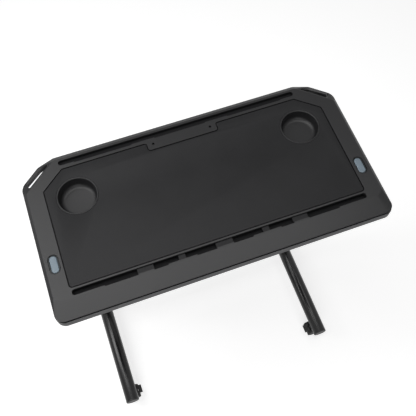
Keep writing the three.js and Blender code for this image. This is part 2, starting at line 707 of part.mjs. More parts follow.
/** Coil spring that returns the button. */
function buttonSpring() {
  const bottom = floorZ + seatGap + spring.wire;
  const { slope } = leverPlan();
  const leverUnder = leverTop.near - lever.thickness + slope * spring.coil;
  const top = leverUnder - seatGap - spring.wire;
  const centre = new THREE.Vector3(button.x, button.y, bottom);
  class Helix extends THREE.Curve {
    getPoint(t, target = new THREE.Vector3()) {
      const angle = 2 * Math.PI * spring.turns * t;
      const offset = new THREE.Vector3(Math.cos(angle), Math.sin(angle), 0).multiplyScalar(spring.coil);
      return target.copy(centre).add(offset).setZ(bottom + (top - bottom) * t);
    }
  }
  const section = new THREE.Shape(circle(0, 0, spring.wire, spring.sides));
  const steps = spring.turns * spring.stepsPerTurn;
  const options = { steps, extrudePath: new Helix(), bevelEnabled: false };
  return solidOf(new THREE.ExtrudeGeometry(section, options));
}

/** Pull rod: a round bar with a head on the lever and a slotted cam plate at the lock pin. */
function pullRod() {
  const headBottom = leverTop.far + seatGap;
  const camBottom = lockZ - rod.camDrop;
  const camTop = lockZ + rod.camRise;
  const shaft = turnedSolid([
    [0, camTop - 2 * rod.radius], [rod.radius, camTop - 2 * rod.radius], [rod.radius, headBottom],
    [rod.head, headBottom], [rod.head, headBottom + rod.headHeight], [0, headBottom + rod.headHeight],
  ], facets.hole, 'z', column.x, column.y, 0);
  const camCentre = column.y + lock.camY;
  const plate = prismX(outline([
    [camCentre - rod.camNear, camBottom, rod.radius], [camCentre + rod.camFar, camBottom, rod.radius],
    [camCentre + rod.camFar, camTop - rod.radius, rod.radius], [column.y, camTop],
    [camCentre - rod.camNear, camTop - rod.radius, rod.radius],
  ]), column.x - rod.camHalf, column.x + rod.camHalf);
  const half = lock.crossPin + seatGap;
  const start = new THREE.Vector2(camCentre, lockZ);
  const end = start.clone().add(new THREE.Vector2(lock.travel, -lock.travel));
  const [from, back] = [lock.camAngle, lock.camAngle + halfTurn];
  const slot = [
    ...arc(start.x, start.y, half, from, back, facets.corner + 1),
    ...arc(end.x, end.y, half, back, back + halfTurn, facets.corner + 1),
  ];
  return join(cut(plate, prismX(slot, column.x - overrun, column.x + overrun)), shaft);
}

/** Lock pin: a round bar with a fork for the cam plate and a cross pin in its slot. */
function lockPin() {
  const tip = column.y - column.outerHalfY - lock.reach;
  const tail = column.y + lock.tail;
  const body = turnedSolid([
    [0, tip], [lock.radius * lock.tipShare, tip], [lock.radius, tip + lock.tipTaper],
    [lock.radius, tail], [0, tail],
  ], facets.small, 'y', column.x, 0, lockZ);
  const camCentre = column.y + lock.camY;
  const fork = prism(
    outline(rectangle(column.x, camCentre, lock.slotHalf, lock.slotHalfY)),
    lockZ - lock.radius - overrun, lockZ + lock.radius + overrun,
  );
  const cross = turnedSolid(
    bar(lock.crossPin, -lock.slotHalf - lock.crossPin / 2, lock.slotHalf + lock.crossPin / 2),
    facets.small, 'x', column.x, camCentre, lockZ,
  );
  return join(cut(body, fork), cross);
}

/** Plug in the inner column's foot: it guides the lock pin and runs inside the outer column. */
function columnPlug() {
  const inner = column.innerHalfX - column.wall - slideGap;
  const innerY = column.innerHalfY - column.wall - slideGap;
  const glideX = column.outerHalfX - column.wall - seatGap;
  const glideY = column.outerHalfY - column.wall - seatGap;
  const bottom = column.innerBottom - seatGap;
  const flange = prism(outline(rectangle(
    column.x, column.y, glideX, glideY, column.outerRadius - column.wall,
  )), bottom - plug.flange, bottom);
  const top = lockZ + plug.rise;
  const channelBottom = lockZ - plug.channelDrop;
  const core = prism(
    outline(rectangle(column.x, column.y, inner, innerY, plug.radius)), bottom - seatGap, top,
  );
  const bore = turnedSolid(
    bar(lock.radius + lock.boreGap, column.y - column.outerHalfY, column.y + column.outerHalfY),
    facets.small, 'y', column.x, 0, lockZ,
  );
  const channel = prism(
    outline(rectangle(column.x, column.y, plug.camHalf, plug.channelHalf)), channelBottom, top + overrun,
  );
  const rodWay = prism(
    circle(column.x, column.y, rod.radius + seatGap, facets.hole), channelBottom, top + overrun,
  );
  return cut(join(core, flange), bore, channel, rodWay);
}

// Columns

/** Rectangular tube with round corners between two heights. */
function columnTube(halfX, halfY, radius, bottom, top) {
  const wall = column.wall;
  const outer = rectangle(column.x, column.y, halfX, halfY, radius);
  const bore = rectangle(column.x, column.y, halfX - wall, halfY - wall, radius - wall);
  return cut(prism(outline(outer), bottom, top), prism(outline(bore), bottom - overrun, top + overrun));
}

/** Round hole through the near wall of a column. */
function pinHole(z, halfY) {
  return turnedSolid(
    bar(holes.radius, column.y - halfY - overrun, column.y - halfY + overrun),
    facets.hole, 'y', column.x, 0, z,
  );
}

/** Fixed column with its row of height holes. */
function outerColumn() {
  const c = column;
  const topHole = outerTop - holes.fromTop;
  const row = Array.from({ length: holes.count }, (_, k) => pinHole(topHole - k * holes.pitch, c.outerHalfY));
  const body = columnTube(c.outerHalfX, c.outerHalfY, c.outerRadius, c.outerBottom + seatGap, outerTop);
  return cut(body, ...row);
}

/** Moving column. */
function innerColumn() {
  const c = column;
  const body = columnTube(c.innerHalfX, c.innerHalfY, c.innerRadius, c.innerBottom, c.innerTop);
  return cut(body, pinHole(lockZ, c.innerHalfY));
}

/** Guide collar on top of the outer column, with a sleeve round the inner one. */
function columnCollar() {
  const c = column;
  const outerX = c.outerHalfX + seatGap + collar.wall;
  const outerY = c.outerHalfY + seatGap + collar.wall;
  const capCorners = rectangle(c.x, c.y, outerX, outerY, collar.radius);
  const top = outerTop + collar.above;
  const cap = loft([
    { points: outline(capCorners), z: outerTop - collar.below },
    { points: outline(capCorners), z: top - collar.wall / 2 },
    { points: outline(inset(capCorners, collar.wall / 2)), z: top },
  ]);
  const seat = prism(
    outline(rectangle(c.x, c.y, c.outerHalfX + seatGap, c.outerHalfY + seatGap, c.outerRadius)),
    outerTop - collar.below - overrun, outerTop + seatGap,
  );
  const sleeve = prism(outline(rectangle(
    c.x, c.y, c.outerHalfX - c.wall - seatGap, c.outerHalfY - c.wall - seatGap, c.outerRadius - c.wall,
  )), outerTop - collar.sleeve, top - collar.wall);
  const bore = prism(outline(rectangle(
    c.x, c.y, c.innerHalfX + seatGap, c.innerHalfY + seatGap, c.innerRadius,
  )), outerTop - collar.sleeve - overrun, top + overrun);
  return cut(join(cut(cap, seat), sleeve), bore);
}

// Floor frame

/** Floor tube with holes for the caster sockets. */
function floorTube() {
  const t = tube;
  const outer = prismY(circle(column.x, t.z, t.radius, facets.large), -t.halfLength, t.halfLength);
  const bore = prismY(
    circle(column.x, t.z, t.radius - t.wall, facets.large), -t.halfLength - overrun, t.halfLength + overrun,
  );
  const sockets = [-1, 1].map((end) => prism(
    circle(column.x, end * (t.halfLength - caster.endIn), socket.radius + seatGap, facets.small),
    t.z - t.radius - overrun, t.z,
  ));
  return cut(outer, bore, ...sockets);
}

/** Plug and domed lip that close a tube's end, about the origin with the tube's end face at y = 0. */
function tubeCap() {
  const t = tube;
  const plugRadius = t.radius - t.wall - endCap.plugGap;
  const profile = [
    [0, -endCap.plug], [plugRadius, -endCap.plug], [plugRadius, seatGap], [t.radius, seatGap],
    [t.radius, endCap.lip - endCap.dome], [t.radius - endCap.dome, endCap.lip], [0, endCap.lip],
  ];
  return solidOf(turned(profile, facets.medium, 'y'));
}

/** Cast foot: a saddle on the floor tube with a socket for the outer column. */
function columnFoot() {
  const f = foot;
  const { x, y } = column;
  const base = tube.radius + f.sideWall;
  const neck = column.outerHalfX + f.wallX;
  const baseZ = tube.z - f.baseDrop;
  const shoulderZ = tube.z + f.shoulderRise;
  const neckZ = tube.z + f.neckRise;
  const side = prismY(outline([
    [x - base, baseZ, seatGap], [x + base, baseZ, seatGap],
    [x + base, shoulderZ, f.fillet], [x + neck, neckZ, f.fillet],
    [x + neck, footTop], [x - neck, footTop],
    [x - neck, neckZ, f.fillet], [x - base, shoulderZ, f.fillet],
  ]), y - f.halfLength, y + f.halfLength);
  const plan = prism(
    outline(rectangle(x, y, base + overrun, column.outerHalfY + f.wallY, column.outerRadius)),
    neckZ, footTop + overrun,
  );
  const low = prism(outline(rectangle(x, y, base + overrun, f.halfLength + overrun)), baseZ - overrun, neckZ);
  const saddle = prismY(
    circle(x, tube.z, tube.radius + seatGap, facets.large),
    y - f.halfLength - overrun, y + f.halfLength + overrun,
  );
  const bore = prism(outline(rectangle(
    x, y, column.outerHalfX + slideGap, column.outerHalfY + slideGap, column.outerRadius,
  )), column.outerBottom, footTop + overrun);
  return cut(side.intersect(join(plan, low)), saddle, bore);
}

/** Crossbar between the columns: a rectangular tube with a flange at each end. */
function crossBar() {
  const c = crossbar;
  const half = column.x - column.outerHalfX - seatGap;
  const bottom = footTop + c.rise;
  const halfZ = c.height / 2;
  const middle = bottom + halfZ;
  const outer = prismX(outline(rectangle(column.y, middle, c.halfY, halfZ, c.radius)), -half, half);
  const bore = prismX(
    outline(rectangle(column.y, middle, c.halfY - c.wall, halfZ - c.wall, c.radius - c.wall)),
    -half + c.flange, half - c.flange,
  );
  const flange = (from) => prismX(
    outline(rectangle(column.y, middle, c.flangeHalfY, halfZ + c.flangeRise, c.radius)),
    from, from + c.flange,
  );
  const drain = prism(circle(0, column.y, c.wall, facets.hole), bottom - overrun, middle);
  return cut(join(outer, flange(-half), flange(half - c.flange)), bore, drain);
}

// Casters

/** Caster socket: a bush in the tube with a saddle shaped collar below it. */
function casterSocket() {
  const s = socket;
  const top = tube.z + s.rise;
  const bush = turnedSolid(bar(s.radius, socketZ, top), facets.small, 'z', 0, 0, 0);
  const collarTop = tube.z - tube.radius + s.wrap;
  const wide = turnedSolid(bar(s.collar, socketZ, collarTop), facets.medium, 'z', 0, 0, 0);
  const saddle = prismY(
    circle(0, tube.z, tube.radius + seatGap, facets.large), -s.collar - overrun, s.collar + overrun,
  );
  const bore = turnedSolid(
    bar(stem.radius + s.boreGap, socketZ - overrun, top + overrun), facets.small, 'z', 0, 0, 0,
  );
  return cut(join(cut(wide, saddle), bush), bore);
}

/** Caster housing: hood, web, axle and stem in one piece. */
function casterHousing() {
  const x = -caster.trail;
  const z = caster.wheel;
  const inner = caster.wheel + hood.clearance;
  const outer = inner + hood.shell;
  const steps = 2 * facets.corner;
  const shell = prismY([
    ...arc(x, z, outer, hood.fromDegrees, hood.toDegrees, steps),
    ...arc(x, z, inner, hood.toDegrees, hood.fromDegrees, steps),
  ], -hood.halfWidth, hood.halfWidth);
  const web = prismY([
    new THREE.Vector2(x, z), ...arc(x, z, outer, hood.fromDegrees, hood.webToDegrees, steps + bend),
  ], -caster.web, caster.web);
  const boss = prismY(circle(x, z, hood.boss, facets.hole), -caster.web, caster.web);
  const axle = prismY(circle(x, z, hood.axle, facets.small), -hood.axleHalf, hood.axleHalf);
  const pivotX = x + hood.pivotX;
  const pivotZ = z + hood.pivotZ;
  const pivot = prismY(circle(pivotX, pivotZ, hood.pivotBoss, facets.hole), -caster.web, caster.web);
  const pivotHole = prismY(
    circle(pivotX, pivotZ, brake.pin + runningGap, facets.medium),
    -caster.web - overrun, caster.web + overrun,
  );
  const plateBottom = plateTop - hood.plateThickness;
  const stemTop = tube.z + socket.rise - stem.drop;
  const post = turnedSolid([
    [0, plateBottom], [hood.plate, plateBottom], [hood.plate, plateTop], [stem.radius, plateTop],
    [stem.radius, stemTop], [0, stemTop],
  ], facets.small, 'z', 0, 0, 0);
  return join(cut(join(shell, web, boss, pivot), pivotHole), axle, post);
}

/** Caster wheel: tyre, recessed face and blind hub bore, on the +Y or -Y side of the web. */
function casterWheel(side) {
  const t = tread;
  const near = caster.web + caster.webGap;
  const far = near + caster.track;
  const radius = caster.wheel;
  const boreEnd = hood.axleHalf + seatGap;
  const profile = [
    [0, boreEnd], [hood.axle + runningGap, boreEnd], [hood.axle + runningGap, near],
    [radius, near], [radius, far - t.edge], [radius - t.edge, far],
    [t.rimInner, far], [t.faceRadius, far - t.faceRecess], [0, far - t.faceRecess],
  ];
  const sided = profile.map(([r, along]) => [r, side * along]);
  return turnedSolid(sided, facets.medium, 'y', -caster.trail, 0, caster.wheel);
}

/** Brake lever: a foot tab on a pin through the housing's web, with a nose that meets the treads. */
function brakeLever() {
  const b = brake;
  const x = -caster.trail + hood.pivotX;
  const z = caster.wheel + hood.pivotZ;
  const pad = prismY(outline([
    [x + b.tipX, z + b.tipBottom, b.round, 1], [x + b.noseX, z + b.noseZ, b.round, 1],
    [x, z], [x, z + b.cheek], [x + b.tipX, z + b.tipTop, b.round],
  ]), -b.cheekHalf, b.cheekHalf);
  const barrel = prismY(circle(x, z, b.cheek, facets.small), -b.cheekHalf, b.cheekHalf);
  const halfSlot = caster.web + seatGap;
  const slot = prismY(outline([
    [x + b.rootX, z - b.cheek - overrun], [x + b.cheek + overrun, z - b.cheek - overrun],
    [x + b.cheek + overrun, z + b.cheek + overrun], [x + b.rootX, z + b.cheek + overrun],
  ]), -halfSlot, halfSlot);
  const pin = prismY(circle(x, z, b.pin, facets.small), -b.cheekHalf, b.cheekHalf);
  return join(cut(join(pad, barrel), slot), pin);
}

// Assembly

const sides = [['left', -1], ['right', 1]];
const ends = [['near', -1], ['far', 1]];

/** Floor frame and columns. */
function buildBase() {
  const group = new THREE.Group();
  group.add(piece('crossbar', crossBar(), finish.tube));
  const floorTubeSolid = floorTube();
  const footSolid = columnFoot();
  const columnSolid = outerColumn();
  const collarSolid = columnCollar();
  const capSolid = tubeCap();
  for (const [sideName, side] of sides) {
    group.add(piece(`floor_tube_${sideName}`, floorTubeSolid, finish.tube, side));
    group.add(piece(`column_foot_${sideName}`, footSolid, finish.tube, side));
    group.add(piece(`outer_column_${sideName}`, columnSolid, finish.tube, side));
    group.add(piece(`column_collar_${sideName}`, collarSolid, finish.plastic, side));
    for (const [endName, end] of ends) {
      const cap = piece(`tube_cap_${endName}_${sideName}`, capSolid, finish.plastic);
      cap.position.set(side * column.x, end * tube.halfLength, tube.z);
      cap.rotation.z = end < 0 ? Math.PI : 0;
      group.add(cap);
    }
  }
  return group;
}

/** One caster at each end of each floor tube. */
function buildCasters() {
  const group = new THREE.Group();
  const socketSolid = casterSocket();
  const housingSolid = casterHousing();
  const brakeSolid = brakeLever();
  const wheelSolids = [['a', -1], ['b', 1]].map(([letter, side]) => [letter, casterWheel(side)]);
  for (const [sideName, side] of sides) {
    for (const [endName, end] of ends) {
      const unit = new THREE.Group();
      const place = `${endName}_${sideName}`;
      unit.add(piece(`caster_socket_${place}`, socketSolid, finish.steel, side));
      unit.add(piece(`caster_housing_${place}`, housingSolid, finish.plastic, side));
      unit.add(piece(`caster_brake_${place}`, brakeSolid, finish.plastic, side));
      for (const [letter, wheel] of wheelSolids) {
        unit.add(piece(`caster_wheel_${place}_${letter}`, wheel, finish.rubber, side));
      }
      unit.position.set(side * column.x, end * (tube.halfLength - caster.endIn), 0);
      group.add(unit);
    }
  }
  return group;
}

/** Tray, arms and inner columns. */
function buildDesk() {
  const group = new THREE.Group();
  group.add(piece('top_cover', topCover(), finish.shell));
  group.add(piece('bottom_cover', bottomCover(), finish.lower));
  group.add(piece('desk_mat', deskMat(), finish.mat));
  const parts = [
    ['cup_holder', cupHolder(), finish.cup], ['button_bezel', buttonBezel(), finish.bezel],
    ['support_arm', supportArm(), finish.steel], ['inner_column', innerColumn(), finish.inner],
    ['column_plug', columnPlug(), finish.plastic], ['button_spring', buttonSpring(), finish.steel],
  ];
  for (const [sideName, side] of sides) {
    for (const [name, solid, look] of parts) group.add(piece(`${name}_${sideName}`, solid, look, side));
  }
  return group;
}

/** Release mechanism of each side: button, lever, pull rod and lock pin. */
function buildRelease() {
  const group = new THREE.Group();
  const buttonSolid = releaseButton();
  const rodSolid = pullRod();
  const pinSolid = lockPin();
  const { flat, tilt, x, y, z } = releaseLever();
  for (const [sideName, side] of sides) {
    group.add(piece(`release_button_${sideName}`, buttonSolid, finish.button, side));
    group.add(piece(`pull_rod_${sideName}`, rodSolid, finish.steel, side));
    group.add(piece(`lock_pin_${sideName}`, pinSolid, finish.steel, side));
    const arm = piece(`release_lever_${sideName}`, flat, finish.steel, side);
    arm.position.set(side * x, y, z);
    arm.rotation.x = tilt;
    group.add(arm);
  }
  return group;
}

const desk = new THREE.Group();
desk.add(buildBase(), buildCasters(), buildDesk(), buildRelease());

export default desk;
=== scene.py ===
"""Trainer desk: a moulded tray on telescoping columns over a castored floor frame.

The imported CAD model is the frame. The classes below model its visible pieces again with finer forms and real
finishes, each on the body that its CAD node belongs to. Sizes in the classes are millimetres.
"""

import logging
import math
from abc import ABC, abstractmethod
from collections.abc import Callable, Iterator, Sequence
from contextlib import contextmanager
from dataclasses import dataclass
from enum import Enum, IntEnum

import bmesh
import bpy
from mathutils import Matrix, Quaternion, Vector


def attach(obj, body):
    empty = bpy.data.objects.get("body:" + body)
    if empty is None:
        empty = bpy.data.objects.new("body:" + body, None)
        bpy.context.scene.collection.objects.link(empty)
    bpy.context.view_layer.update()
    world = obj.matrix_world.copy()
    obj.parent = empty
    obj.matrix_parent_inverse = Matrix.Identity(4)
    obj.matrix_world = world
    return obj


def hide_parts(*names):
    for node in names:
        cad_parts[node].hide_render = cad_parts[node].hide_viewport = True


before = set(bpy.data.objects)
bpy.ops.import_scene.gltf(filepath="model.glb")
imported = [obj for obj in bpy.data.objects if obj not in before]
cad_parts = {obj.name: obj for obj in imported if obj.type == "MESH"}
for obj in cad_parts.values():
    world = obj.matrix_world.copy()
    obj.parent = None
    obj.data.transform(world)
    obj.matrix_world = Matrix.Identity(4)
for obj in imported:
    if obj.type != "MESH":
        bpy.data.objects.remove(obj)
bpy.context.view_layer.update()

log = logging.getLogger("trainer_desk")

Point = tuple[float, float]
Triple = tuple[float, float, float]
Corner = tuple[float, float, float]
EdgeTest = Callable[[Vector, Vector, float], bool]

# Metres in a millimetre
MM = 0.001
# Metres within which two points are merged
MERGE = 1e-6
# Millimetres left between pieces that fit together
SEAT_GAP = 0.3
# Millimetres that a cutting tool goes past a surface
OVERRUN = 5.0
# Millimetres within which a place counts as being at a height
TOUCH = 0.1
# Share of its radius that a corner keeps however far its outline moves
LEAST_RADIUS = 0.2
MIRROR = Matrix.Scale(-1, 4, (1, 0, 0))


class Labelled(Enum):
    """Choices whose names are part of the pieces' names."""

    @property
    def label(self) -> str:
        """Name used in the pieces' names."""
        return self.name.lower()


class Side(Labelled):
    """Left or right half of the desk, as the sign of X."""

    LEFT = -1
    RIGHT = 1


class End(Labelled):
    """End of a floor tube, as the sign of Y."""

    NEAR = -1
    FAR = 1


class Facets(IntEnum):
    """Facets round a whole turn."""

    RIDGE = 12
    POCKET = 20
    SMALL = 24
    MEDIUM = 32
    HUB = 48
    LARGE = 64
    TUBE = 72
    CUP = 96


class Axis(Enum):
    """Direction that a profile is drawn out or spun about."""

    X = "X"
    Y = "Y"
    Z = "Z"

    @property
    def turn(self) -> Matrix:
        """Matrix that takes the drawing's plane and height to this axis."""
        rows = {
            Axis.X: ((0, 0, 1, 0), (1, 0, 0, 0), (0, 1, 0, 0), (0, 0, 0, 1)),
            Axis.Y: ((1, 0, 0, 0), (0, 0, 1, 0), (0, 1, 0, 0), (0, 0, 0, 1)),
            Axis.Z: ((1, 0, 0, 0), (0, 1, 0, 0), (0, 0, 1, 0), (0, 0, 0, 1)),
        }
        return Matrix(rows[self])


# Outlines


def both_sides(corners: Sequence[Corner]) -> list[Corner]:
    """Adds the mirror image in X of an outline's right hand corners, so that it closes."""
    return [*corners, *[(-x, y, r) for x, y, r in reversed(corners)]]


def mirrored(stretches: Sequence[Point]) -> list[Point]:
    """Stretches of X on both sides of the middle."""
    return [*stretches, *[(-end, -start) for start, end in stretches]]


def rectangle(x: float, y: float, half_x: float, half_y: float, radius: float = 0.0) -> list[Corner]:
    """Corners of a rectangle about a centre, counter-clockwise."""
    signs = ((-1, -1), (1, -1), (1, 1), (-1, 1))
    return [(x + sx * half_x, y + sy * half_y, radius) for sx, sy in signs]


def directions(corners: Sequence[Corner], i: int) -> tuple[Vector, Vector, Vector]:
    """Place of a corner, and the unit directions back and on along its two edges."""
    here = Vector(corners[i][:2])
    back = (Vector(corners[i - 1][:2]) - here).normalized()
    on = (Vector(corners[(i + 1) % len(corners)][:2]) - here).normalized()
    return here, back, on


def rounded(corners: Sequence[Corner], steps: int | Sequence[int] = 6) -> list[Point]:
    """Points of a closed outline whose corners are arcs.

    Args:
        corners: The outline's corners, each with its radius.
        steps: Facets of every arc, or of each corner's own.

    Returns:
        The outline's points in order.
    """
    counts = [steps] * len(corners) if isinstance(steps, int) else steps
    points: list[Point] = []
    for i, (_, _, radius) in enumerate(corners):
        here, back, on = directions(corners, i)
        if radius == 0:
            points.append((here.x, here.y))
            continue
        half = math.acos(max(-1.0, min(1.0, back.dot(on)))) / 2
        centre = here + (back + on).normalized() * (radius / math.sin(half))
        start = here + back * (radius / math.tan(half)) - centre
        end = here + on * (radius / math.tan(half)) - centre
        sweep = math.atan2(start.x * end.y - start.y * end.x, start.dot(end))
        for k in range(counts[i] + 1):
            arm = Matrix.Rotation(sweep * k / counts[i], 2) @ start
            points.append((centre.x + arm.x, centre.y + arm.y))
    return points


def inset(corners: Sequence[Corner], distance: float) -> list[Corner]:
    """Moves every edge of a counter-clockwise outline inwards, or outwards where the distance is negative."""
    moved = []
    for i, (_, _, radius) in enumerate(corners):
        here, back, on = directions(corners, i)
        turn = -back.x * on.y + back.y * on.x
        place = here + (-back - on) * (-distance / turn)
        kept = max(radius - math.copysign(distance, turn * distance), LEAST_RADIUS * radius) if radius else 0.0
        moved.append((place.x, place.y, kept))
    return moved


def circle(x: float, y: float, radius: float, count: int) -> list[Point]:
    """Points of a circle."""
    angles = [2 * math.pi * k / count for k in range(count)]
    return [(x + radius * math.cos(a), y + radius * math.sin(a)) for a in angles]


def arc(x: float, y: float, radius: float, start: float, end: float, steps: int) -> list[Point]:
    """Points of an arc between two angles in degrees."""
    angles = [math.radians(start + (end - start) * k / steps) for k in range(steps + 1)]
    return [(x + radius * math.cos(a), y + radius * math.sin(a)) for a in angles]


# Modelling


def shift(x: float, y: float, z: float) -> Matrix:
    """Matrix that moves a piece by millimetres."""
    return Matrix.Translation(Vector((x, y, z)) * MM)


def deselect() -> None:
    """Leaves nothing selected."""
    if bpy.context.mode != "OBJECT":
        bpy.ops.object.mode_set(mode="OBJECT")
    bpy.ops.object.select_all(action="DESELECT")


def focus(obj: bpy.types.Object) -> None:
    """Makes one object the only selected one, and the active one."""
    deselect()
    obj.select_set(True)
    bpy.context.view_layer.objects.active = obj


@contextmanager
def editing(obj: bpy.types.Object, keep_selection: bool = False) -> Iterator[bmesh.types.BMesh]:
    """Edit mode on one object, which opens with nothing selected unless asked.

    Args:
        obj: The mesh object to edit.
        keep_selection: Whether what was selected in the mesh stays selected.

    Yields:
        The edit mesh.
    """
    focus(obj)
    bpy.ops.object.mode_set(mode="EDIT")
    bpy.ops.mesh.select_mode(type="VERT")
    if not keep_selection:
        bpy.ops.mesh.select_all(action="DESELECT")
    yield bmesh.from_edit_mesh(obj.data)
    bpy.ops.object.mode_set(mode="OBJECT")


def face_outwards(obj: bpy.types.Object) -> None:
    """Merges doubles and turns every face of a closed mesh outwards."""
    with editing(obj):
        bpy.ops.mesh.select_all(action="SELECT")
        bpy.ops.mesh.remove_doubles(threshold=MERGE)
        bpy.ops.mesh.delete_loose()
        bpy.ops.mesh.select_all(action="SELECT")
        bpy.ops.mesh.normals_make_consistent(inside=False)


def start_face(name: str, points: Sequence[Point], height: float, filled: bool = True) -> bpy.types.Object:
    """Adds a circle and draws it onto an outline at a height."""
    deselect()
    bpy.ops.mesh.primitive_circle_add(vertices=len(points), fill_type="NGON" if filled else "NOTHING")
    obj = bpy.context.object
    obj.name = obj.data.name = name
    for vertex, (x, y) in zip(obj.data.vertices, points):
        vertex.co = Vector((x, y, height)) * MM
    return obj


def grow(obj: bpy.types.Object, before: Sequence[Point], after: Sequence[Point], rise: float) -> None:
    """Extrudes the selected end face and draws its ring onto the next outline.

    Args:
        obj: The piece, with its end face selected.
        before: The end face's outline.
        after: The next outline, with as many points.
        rise: How far the next ring is from this one.
    """
    with editing(obj, keep_selection=True):
        bpy.ops.mesh.extrude_region_move(TRANSFORM_OT_translate={"value": (0, 0, rise * MM)})
        mesh = bmesh.from_edit_mesh(obj.data)
        ring = [v for v in mesh.verts if v.select]
        places = [Vector(p) * MM for p in before]
        for vertex in ring:
            nearest = min(range(len(places)), key=lambda i: (places[i] - vertex.co.xy).length_squared)
            vertex.co.xy = Vector(after[nearest]) * MM
        bmesh.update_edit_mesh(obj.data)


def loft(name: str, rings: Sequence[tuple[Sequence[Point], float]], axis: Axis = Axis.Z) -> bpy.types.Object:
    """Closed solid through rings of equal counts, each an outline and its height along the axis."""
    (points, height), *others = rings
    obj = start_face(name, points, height)
    for after, level in others:
        grow(obj, points, after, level - height)
        points, height = after, level
    obj.data.transform(axis.turn)
    face_outwards(obj)
    return obj


def slab(name: str, points: Sequence[Point], low: float, high: float, axis: Axis = Axis.Z) -> bpy.types.Object:
    """Outline drawn out between two heights along an axis."""
    return loft(name, [(points, low), (points, high)], axis)


def lathe(name: str, profile: Sequence[Point], at: Triple = (0, 0, 0), axis: Axis = Axis.Z,
          steps: int = Facets.LARGE) -> bpy.types.Object:
    """Spins a closed profile of radius and height about an axis through a point."""
    obj = start_face(name, profile, 0, filled=False)
    for vertex in obj.data.vertices:
        vertex.co = (vertex.co.x, 0, vertex.co.y)
    with editing(obj):
        bpy.ops.mesh.select_all(action="SELECT")
        bpy.ops.mesh.spin(steps=steps, angle=2 * math.pi, center=(0, 0, 0), axis=(0, 0, 1))
    obj.data.transform(shift(*at) @ axis.turn)
    face_outwards(obj)
    return obj


def rod(name: str, radius: float, low: float, high: float, at: Triple = (0, 0, 0), axis: Axis = Axis.Z,
        steps: int = Facets.MEDIUM) -> bpy.types.Object:
    """Cylinder between two heights along an axis through a point."""
    solid = slab(name, circle(0, 0, radius, steps), low, high, axis)
    solid.data.transform(shift(*at))
    return solid


def combine(obj: bpy.types.Object, operation: str, *tools: bpy.types.Object) -> bpy.types.Object:
    """Applies a Boolean modifier for each tool and removes the tool."""
    for tool in tools:
        focus(obj)
        modifier = obj.modifiers.new("shape", "BOOLEAN")
        modifier.operation = operation
        modifier.solver = "EXACT"
        modifier.object = tool
        bpy.ops.object.modifier_apply(modifier=modifier.name)
        bpy.data.objects.remove(tool)
    return obj


def cut(obj: bpy.types.Object, *tools: bpy.types.Object) -> bpy.types.Object:
    """Takes tools away from a piece."""
    return combine(obj, "DIFFERENCE", *tools)


def join(obj: bpy.types.Object, *others: bpy.types.Object) -> bpy.types.Object:
    """Welds solids to a piece."""
    return combine(obj, "UNION", *others)


def sharp_edges(fold: float) -> EdgeTest:
    """Test for edges that fold by more than an angle in degrees."""
    return lambda a, b, angle: angle > fold


def edges_from(height: float, fold: float = 40.0) -> EdgeTest:
    """Test for sharp edges from a height upwards."""
    return lambda a, b, angle: angle > fold and min(a.z, b.z) > height - TOUCH / 2


def edges_at(height: float, fold: float = 60.0) -> EdgeTest:
    """Test for sharp edges at a height."""
    return lambda a, b, angle: angle > fold and abs(a.z - height) + abs(b.z - height) < TOUCH


def bevel(obj: bpy.types.Object, test: EdgeTest, width: float, segments: int = 2) -> None:
    """Rounds the sharp edges that a test picks.

    Args:
        obj: The piece.
        test: Takes both ends of an edge in millimetres and its fold in degrees.
        width: Size of the bevel in millimetres.
        segments: Facets across it.
    """
    with editing(obj) as mesh:
        bpy.ops.mesh.select_mode(type="EDGE")
        for edge in mesh.edges:
            if len(edge.link_faces) == 2:
                a, b = (v.co / MM for v in edge.verts)
                edge.select_set(test(a, b, math.degrees(edge.calc_face_angle(0.0))))
        bmesh.update_edit_mesh(obj.data)
        bpy.ops.mesh.bevel(offset=width * MM, segments=segments, affect="EDGES", clamp_overlap=True)


def soften(obj: bpy.types.Object, width: float, segments: int = 2, angle: float = 35.0) -> None:
    """Rounds every edge sharper than an angle, with an applied Bevel modifier."""
    focus(obj)
    modifier = obj.modifiers.new("edges", "BEVEL")
    modifier.width = width * MM
    modifier.segments = segments
    modifier.limit_method = "ANGLE"
    modifier.angle_limit = math.radians(angle)
    bpy.ops.object.modifier_apply(modifier=modifier.name)


def shade(obj: bpy.types.Object, angle: float = 30.0) -> bpy.types.Object:
    """Smooth shading across folds smaller than an angle."""
    focus(obj)
    bpy.ops.object.shade_smooth_by_angle(angle=math.radians(angle))
    return obj


def copied(obj: bpy.types.Object, name: str, place: Matrix) -> bpy.types.Object:
    """Copy of a piece with a mesh of its own, put in place by a matrix that may mirror it."""
    twin = obj.copy()
    twin.data = obj.data.copy()
    twin.name = twin.data.name = name
    bpy.context.scene.collection.objects.link(twin)
    twin.data.transform(place)
    if place.determinant() < 0:
        twin.data.flip_normals()
    return twin


def discard(*objects: bpy.types.Object) -> None:
    """Removes pieces that were only modelled to be copied."""
    for obj in objects:
        bpy.data.objects.remove(obj)


# Finishes


def linear(code: str) -> tuple[float, float, float, float]:
    """Linear colour of an sRGB hex code."""
    parts = [int(code[i:i + 2], 16) / 255 for i in (1, 3, 5)]
    r, g, b = (c / 12.92 if c <= 0.04045 else ((c + 0.055) / 1.055) ** 2.4 for c in parts)
    return r, g, b, 1.0


def add_node(tree: bpy.types.NodeTree, kind: str, settings: dict[str | int, object] | None = None,
             links: dict[str | int, bpy.types.NodeSocket] | None = None) -> bpy.types.Node:
    """Adds a node.

    Args:
        tree: The material's node tree.
        kind: The node's type.
        settings: Properties by name, and input values by socket name or number.
        links: The outputs that feed its inputs, by socket name or number.

    Returns:
        The new node.
    """
    node = tree.nodes.new(kind)
    for key, value in (settings or {}).items():
        if isinstance(key, int) or key in node.inputs:
            node.inputs[key].default_value = value
        else:
            setattr(node, key, value)
    for key, output in (links or {}).items():
        tree.links.new(output, node.inputs[key])
    return node


